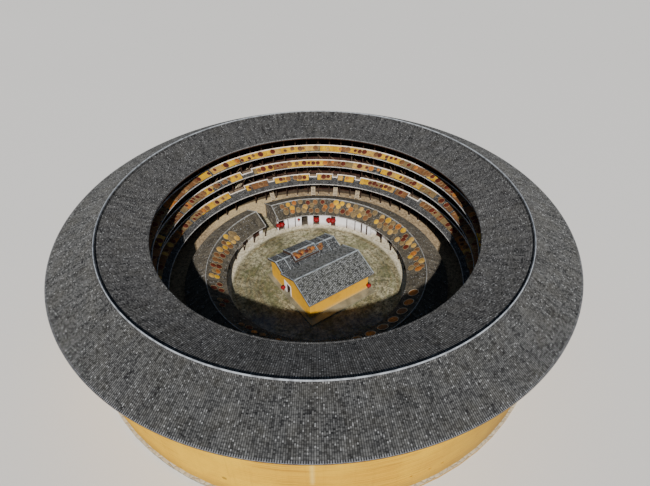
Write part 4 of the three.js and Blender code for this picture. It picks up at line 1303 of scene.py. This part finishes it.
slope = (INNER_RIDGE[1] - INNER_EAVE[1]) / (INNER_RIDGE[0] - INNER_EAVE[0])
for start, end, radii, share, sizes, shares in TRAY_ARCS:
    for radius in radii:
        azimuth = start + 4.0 * rng.random()
        while azimuth < end - 1.0:
            if rng.random() < share:
                at = radius + rng.uniform(-0.22, 0.22)
                z = along(at, INNER_EAVE, INNER_RIDGE) + 0.02 + 0.06 * rng.random()
                kind = int(rng.choice([CORN, PERSIMMON, CHILLI, ROOT, PALE, LEAF], p=shares))
                tray(build, (at, azimuth, z), slope, rng.uniform(*sizes), kind)
            azimuth += TRAY_SPACING * rng.uniform(0.89, 1.11)
build.piece("crops_low_ring")
# The rims of the large trays are pale wood, brighter than their shade: partly painted light
build = Build(PALE_WOOD_WITH_PAINTED_LIGHT, *CROPS)
near_z = along(NEAR_RADIUS, INNER_EAVE, INNER_RIDGE) + 0.04
for azimuth, kind in NEAR_ROW.items():
    tray(build, (NEAR_RADIUS, azimuth, near_z), slope, 0.74, kind)
build.piece("crops_near_row")

# %% [markdown]
# ### Heaps on the hall
#
# The raised middle roof of the hall carries loose heaps and a low frame of poles. A heap is
# modelled flat, then sheared to the pitch of the roof and moved to its place, so that it lies
# on the tiles instead of cutting them.

# %% Heaps on the hall's middle roof
HEAPS, BESIDE = 34, 7
PITCH = np.array([[1, 0, 0], [0, 1, -HALL_PITCH], [0, 0, 1]])
build = Build(CANE, *CROPS)
for i in range(HEAPS):
    beside = i >= HEAPS - BESIDE
    x = rng.uniform(-2.7, -1.95) if beside else rng.uniform(MIDDLE.left + 0.5, MIDDLE.right - 0.1)
    y = rng.uniform(-2.7, -2.0)
    outline = [(c * rng.uniform(0.24, 0.42), s * rng.uniform(0.2, 0.34)) for c, s in circle(9)]
    kind = int(rng.choice([PERSIMMON, ROOT, CHILLI], p=[0.22, 0.5, 0.28]))
    points = np.array([[[wide * share, deep * share, height] for wide, deep in outline]
                       for share, height in ((1.0, 0.0), (0.9, 0.05), (0.5, 0.13), (0.2, 0.15))])
    place = (x, y, pitched(FRONT, y, 0.0 if beside else RISE) + 0.01)
    build.tube(points @ PITCH + place, False, kind, (0, kind))
for x in (MIDDLE.left + 0.9, 0.6, MIDDLE.right - 0.8):
    build.bar((x, -2.9, pitched(FRONT, -2.9) + 0.44), (x + 0.5, -1.75, pitched(FRONT, -1.75) + 0.46),
              0.05, 0.05)
build.bar((MIDDLE.left + 0.5, -1.85, pitched(FRONT, -1.85) + 0.47),
          (MIDDLE.right - 0.2, -1.95, pitched(FRONT, -1.95) + 0.47), 0.06, 0.06)
build.piece("crops_hall")

# %% [markdown]
# ## Lanterns
#
# Red silk lanterns hang under the eave of the inner ring and at two corners of the hall. Each
# is a profile turned round its own axis, with a hanger above and a tassel below. A sphere would
# be quicker, but a lantern is flattened and has a collar at both ends, and the red spots draw
# the eye first.

# %% Lanterns
LANTERN = [(0.34, -1.0), (0.36, -0.9), (0.8, -0.62), (1.0, -0.2),
           (1.0, 0.2), (0.8, 0.62), (0.36, 0.9), (0.34, 1.0)]
# By azimuth: how many hang there, and their size
LANTERN_BUNCHES = {263.4: (2, 0.5), 249.3: (1, 0.26), 236.2: (1, 0.6), 225.3: (2, 0.6)}
build = Build(SILK, TIMBER)


def lantern(r, azimuth, top, size):
    centre, flat = top - size - 0.12, size * 0.85
    points = np.array([[[r + share * size * c, share * size * s, centre + flat * height]
                        for c, s in circle(14)] for share, height in LANTERN])
    build.tube(turn(points, azimuth), False, 0, 1)
    build.boxes(azimuth, (r - 0.015, r + 0.015, -0.015, 0.015, centre + size * 0.8, top, 1),
                (r - 0.05, r + 0.05, -0.05, 0.05, centre - flat - 0.35, centre - size * 0.8, 0))


for azimuth, (number, size) in LANTERN_BUNCHES.items():
    for i in range(number):
        lantern(14.12 + 0.15 * i, azimuth + (i - (number - 1) / 2) * size * 4.6, 3.46 - 0.14 * i, size)
for x, y, top in ((5.82, -0.75, 2.8), (-5.25, 6.66, 2.95)):
    lantern(math.hypot(x, y), math.degrees(math.atan2(y, x)), top, 0.38)
build.piece("red_lanterns")

# %% [markdown]
# ## Finishes of the solid pieces that stay
#
# The walls, floors, foundation, platform, gate and steps are already right as solids, so they
# stay and only get their finish. Their material slots are filled in place: the object itself is
# not moved or changed. The table gives the start of a node's name and its material.

# %% Materials on the solid pieces
FINISHES = {
    "outer_wall_": EARTH, "gate_wall_": EARTH, "inner_ring_outer_wall": LANE_WALL,
    "inner_ring_gable_": GREY_RUBBLE_WITH_SHADE, "stone_foundation": RUBBLE, "courtyard_floor": COURT_FLOOR,
    "gate_frame": GRANITE, "gate_steps": GRANITE, "floor_": FLOORING, "hall_platform": PLINTH,
    "hall_wall_": OCHRE,
}
for name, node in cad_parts.items():
    for start, material in FINISHES.items():
        if name.startswith(start):
            for slot in node.material_slots:
                slot.material = material
print("finished solids", sum(name.startswith(tuple(FINISHES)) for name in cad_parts))

# %% [markdown]
# ## Light, floor and camera
#
# The part stands on a wide pale floor. The photograph was taken in low autumn sun from behind
# the camera, so the key light is a sun with the same direction, and a large blue disc overhead
# with a faint blue surround fills the shadows as the sky would. One soft light alone would hide
# the ribs of the tiles.
#
# The camera stands where it stood for the photograph, above the back of the house. Its place
# and lens were found from the round eaves, which appear as ellipses that share one axis.

# %% Floor and lights
SKY, SKY_STRENGTH = (0.52, 0.7, 1.0, 1.0), 0.17
RINGS, SPOKES = (20.0, 60.0, 200.0, 900.0), 36
corners = [(r * x, r * y, 0.0) for r in RINGS for x, y in circle(SPOKES)]
quads = []
for row in range(len(RINGS) - 1):
    for k in range(SPOKES):
        a, b = row * SPOKES + k, row * SPOKES + (k + 1) % SPOKES
        quads.append((a, a + SPOKES, b + SPOKES, b))
floor_mesh = bpy.data.meshes.new("studio_floor")
floor_mesh.from_pydata(corners, [], quads + [tuple(range(SPOKES))])
floor_object = add_object("studio_floor", floor_mesh)
paper = Paint("studio_paper")
paper.base(paper.noise(0.02, 2.0), (0.78, 0.77, 0.75, 1.0), (0.82, 0.81, 0.79, 1.0))
floor_mesh.materials.append(paper.finish(0.9))

world = bpy.data.worlds.new("studio")
world.use_nodes = True
background = world.node_tree.nodes["Background"].inputs
background["Color"].default_value, background["Strength"].default_value = SKY, SKY_STRENGTH
bpy.context.scene.world = world


def lamp(name, kind, azimuth, elevation, distance, power, colour, **settings):
    """A light that looks at the origin. Only an area light needs a distance."""
    data = bpy.data.lights.new(name, kind)
    data.energy, data.color = power, colour
    for key, value in settings.items():
        setattr(data, key, value)
    made = add_object(name, data)
    a, e = math.radians(azimuth), math.radians(elevation)
    level = distance * math.cos(e)
    made.location = (level * math.cos(a), level * math.sin(a), distance * math.sin(e))
    made.rotation_euler = (math.pi / 2 - e, 0, a + math.pi / 2)


lamp("key", "SUN", SUN_AZIMUTH, SUN_ELEVATION, 0, 5.2, (1.0, 0.96, 0.9), angle=math.radians(1.5))
lamp("fill", "AREA", 60, 75, 90, 900, (0.42, 0.66, 1.0), shape="DISK", size=60)

# %% The camera of the photograph
CAMERA_PLACE, CAMERA_DOWN, CAMERA_TURN, CAMERA_LENS = (28.61, 43.14, 52.75), 0.70163, 145.0, 24.92
camera_data = bpy.data.cameras.new("camera")
camera_data.lens = CAMERA_LENS
camera_data.sensor_width = 36.0
camera_data.clip_end = 2000.0
camera = add_object("camera", camera_data)
camera.location = [value * K for value in CAMERA_PLACE]
camera.rotation_euler = (math.pi / 2 - CAMERA_DOWN, 0.0, math.radians(CAMERA_TURN))
bpy.context.scene.camera = camera
print("camera", tuple(round(value, 2) for value in camera.location), "lens", camera_data.lens)

# %% [markdown]
# ## Close the scene
#
# The last cell counts the triangles of the dressed pieces and prints the total and the largest pieces.

# %% Measure and finish
print("triangles", sum(COUNTS.values()), {name: n for name, n in COUNTS.items() if n > 40000})
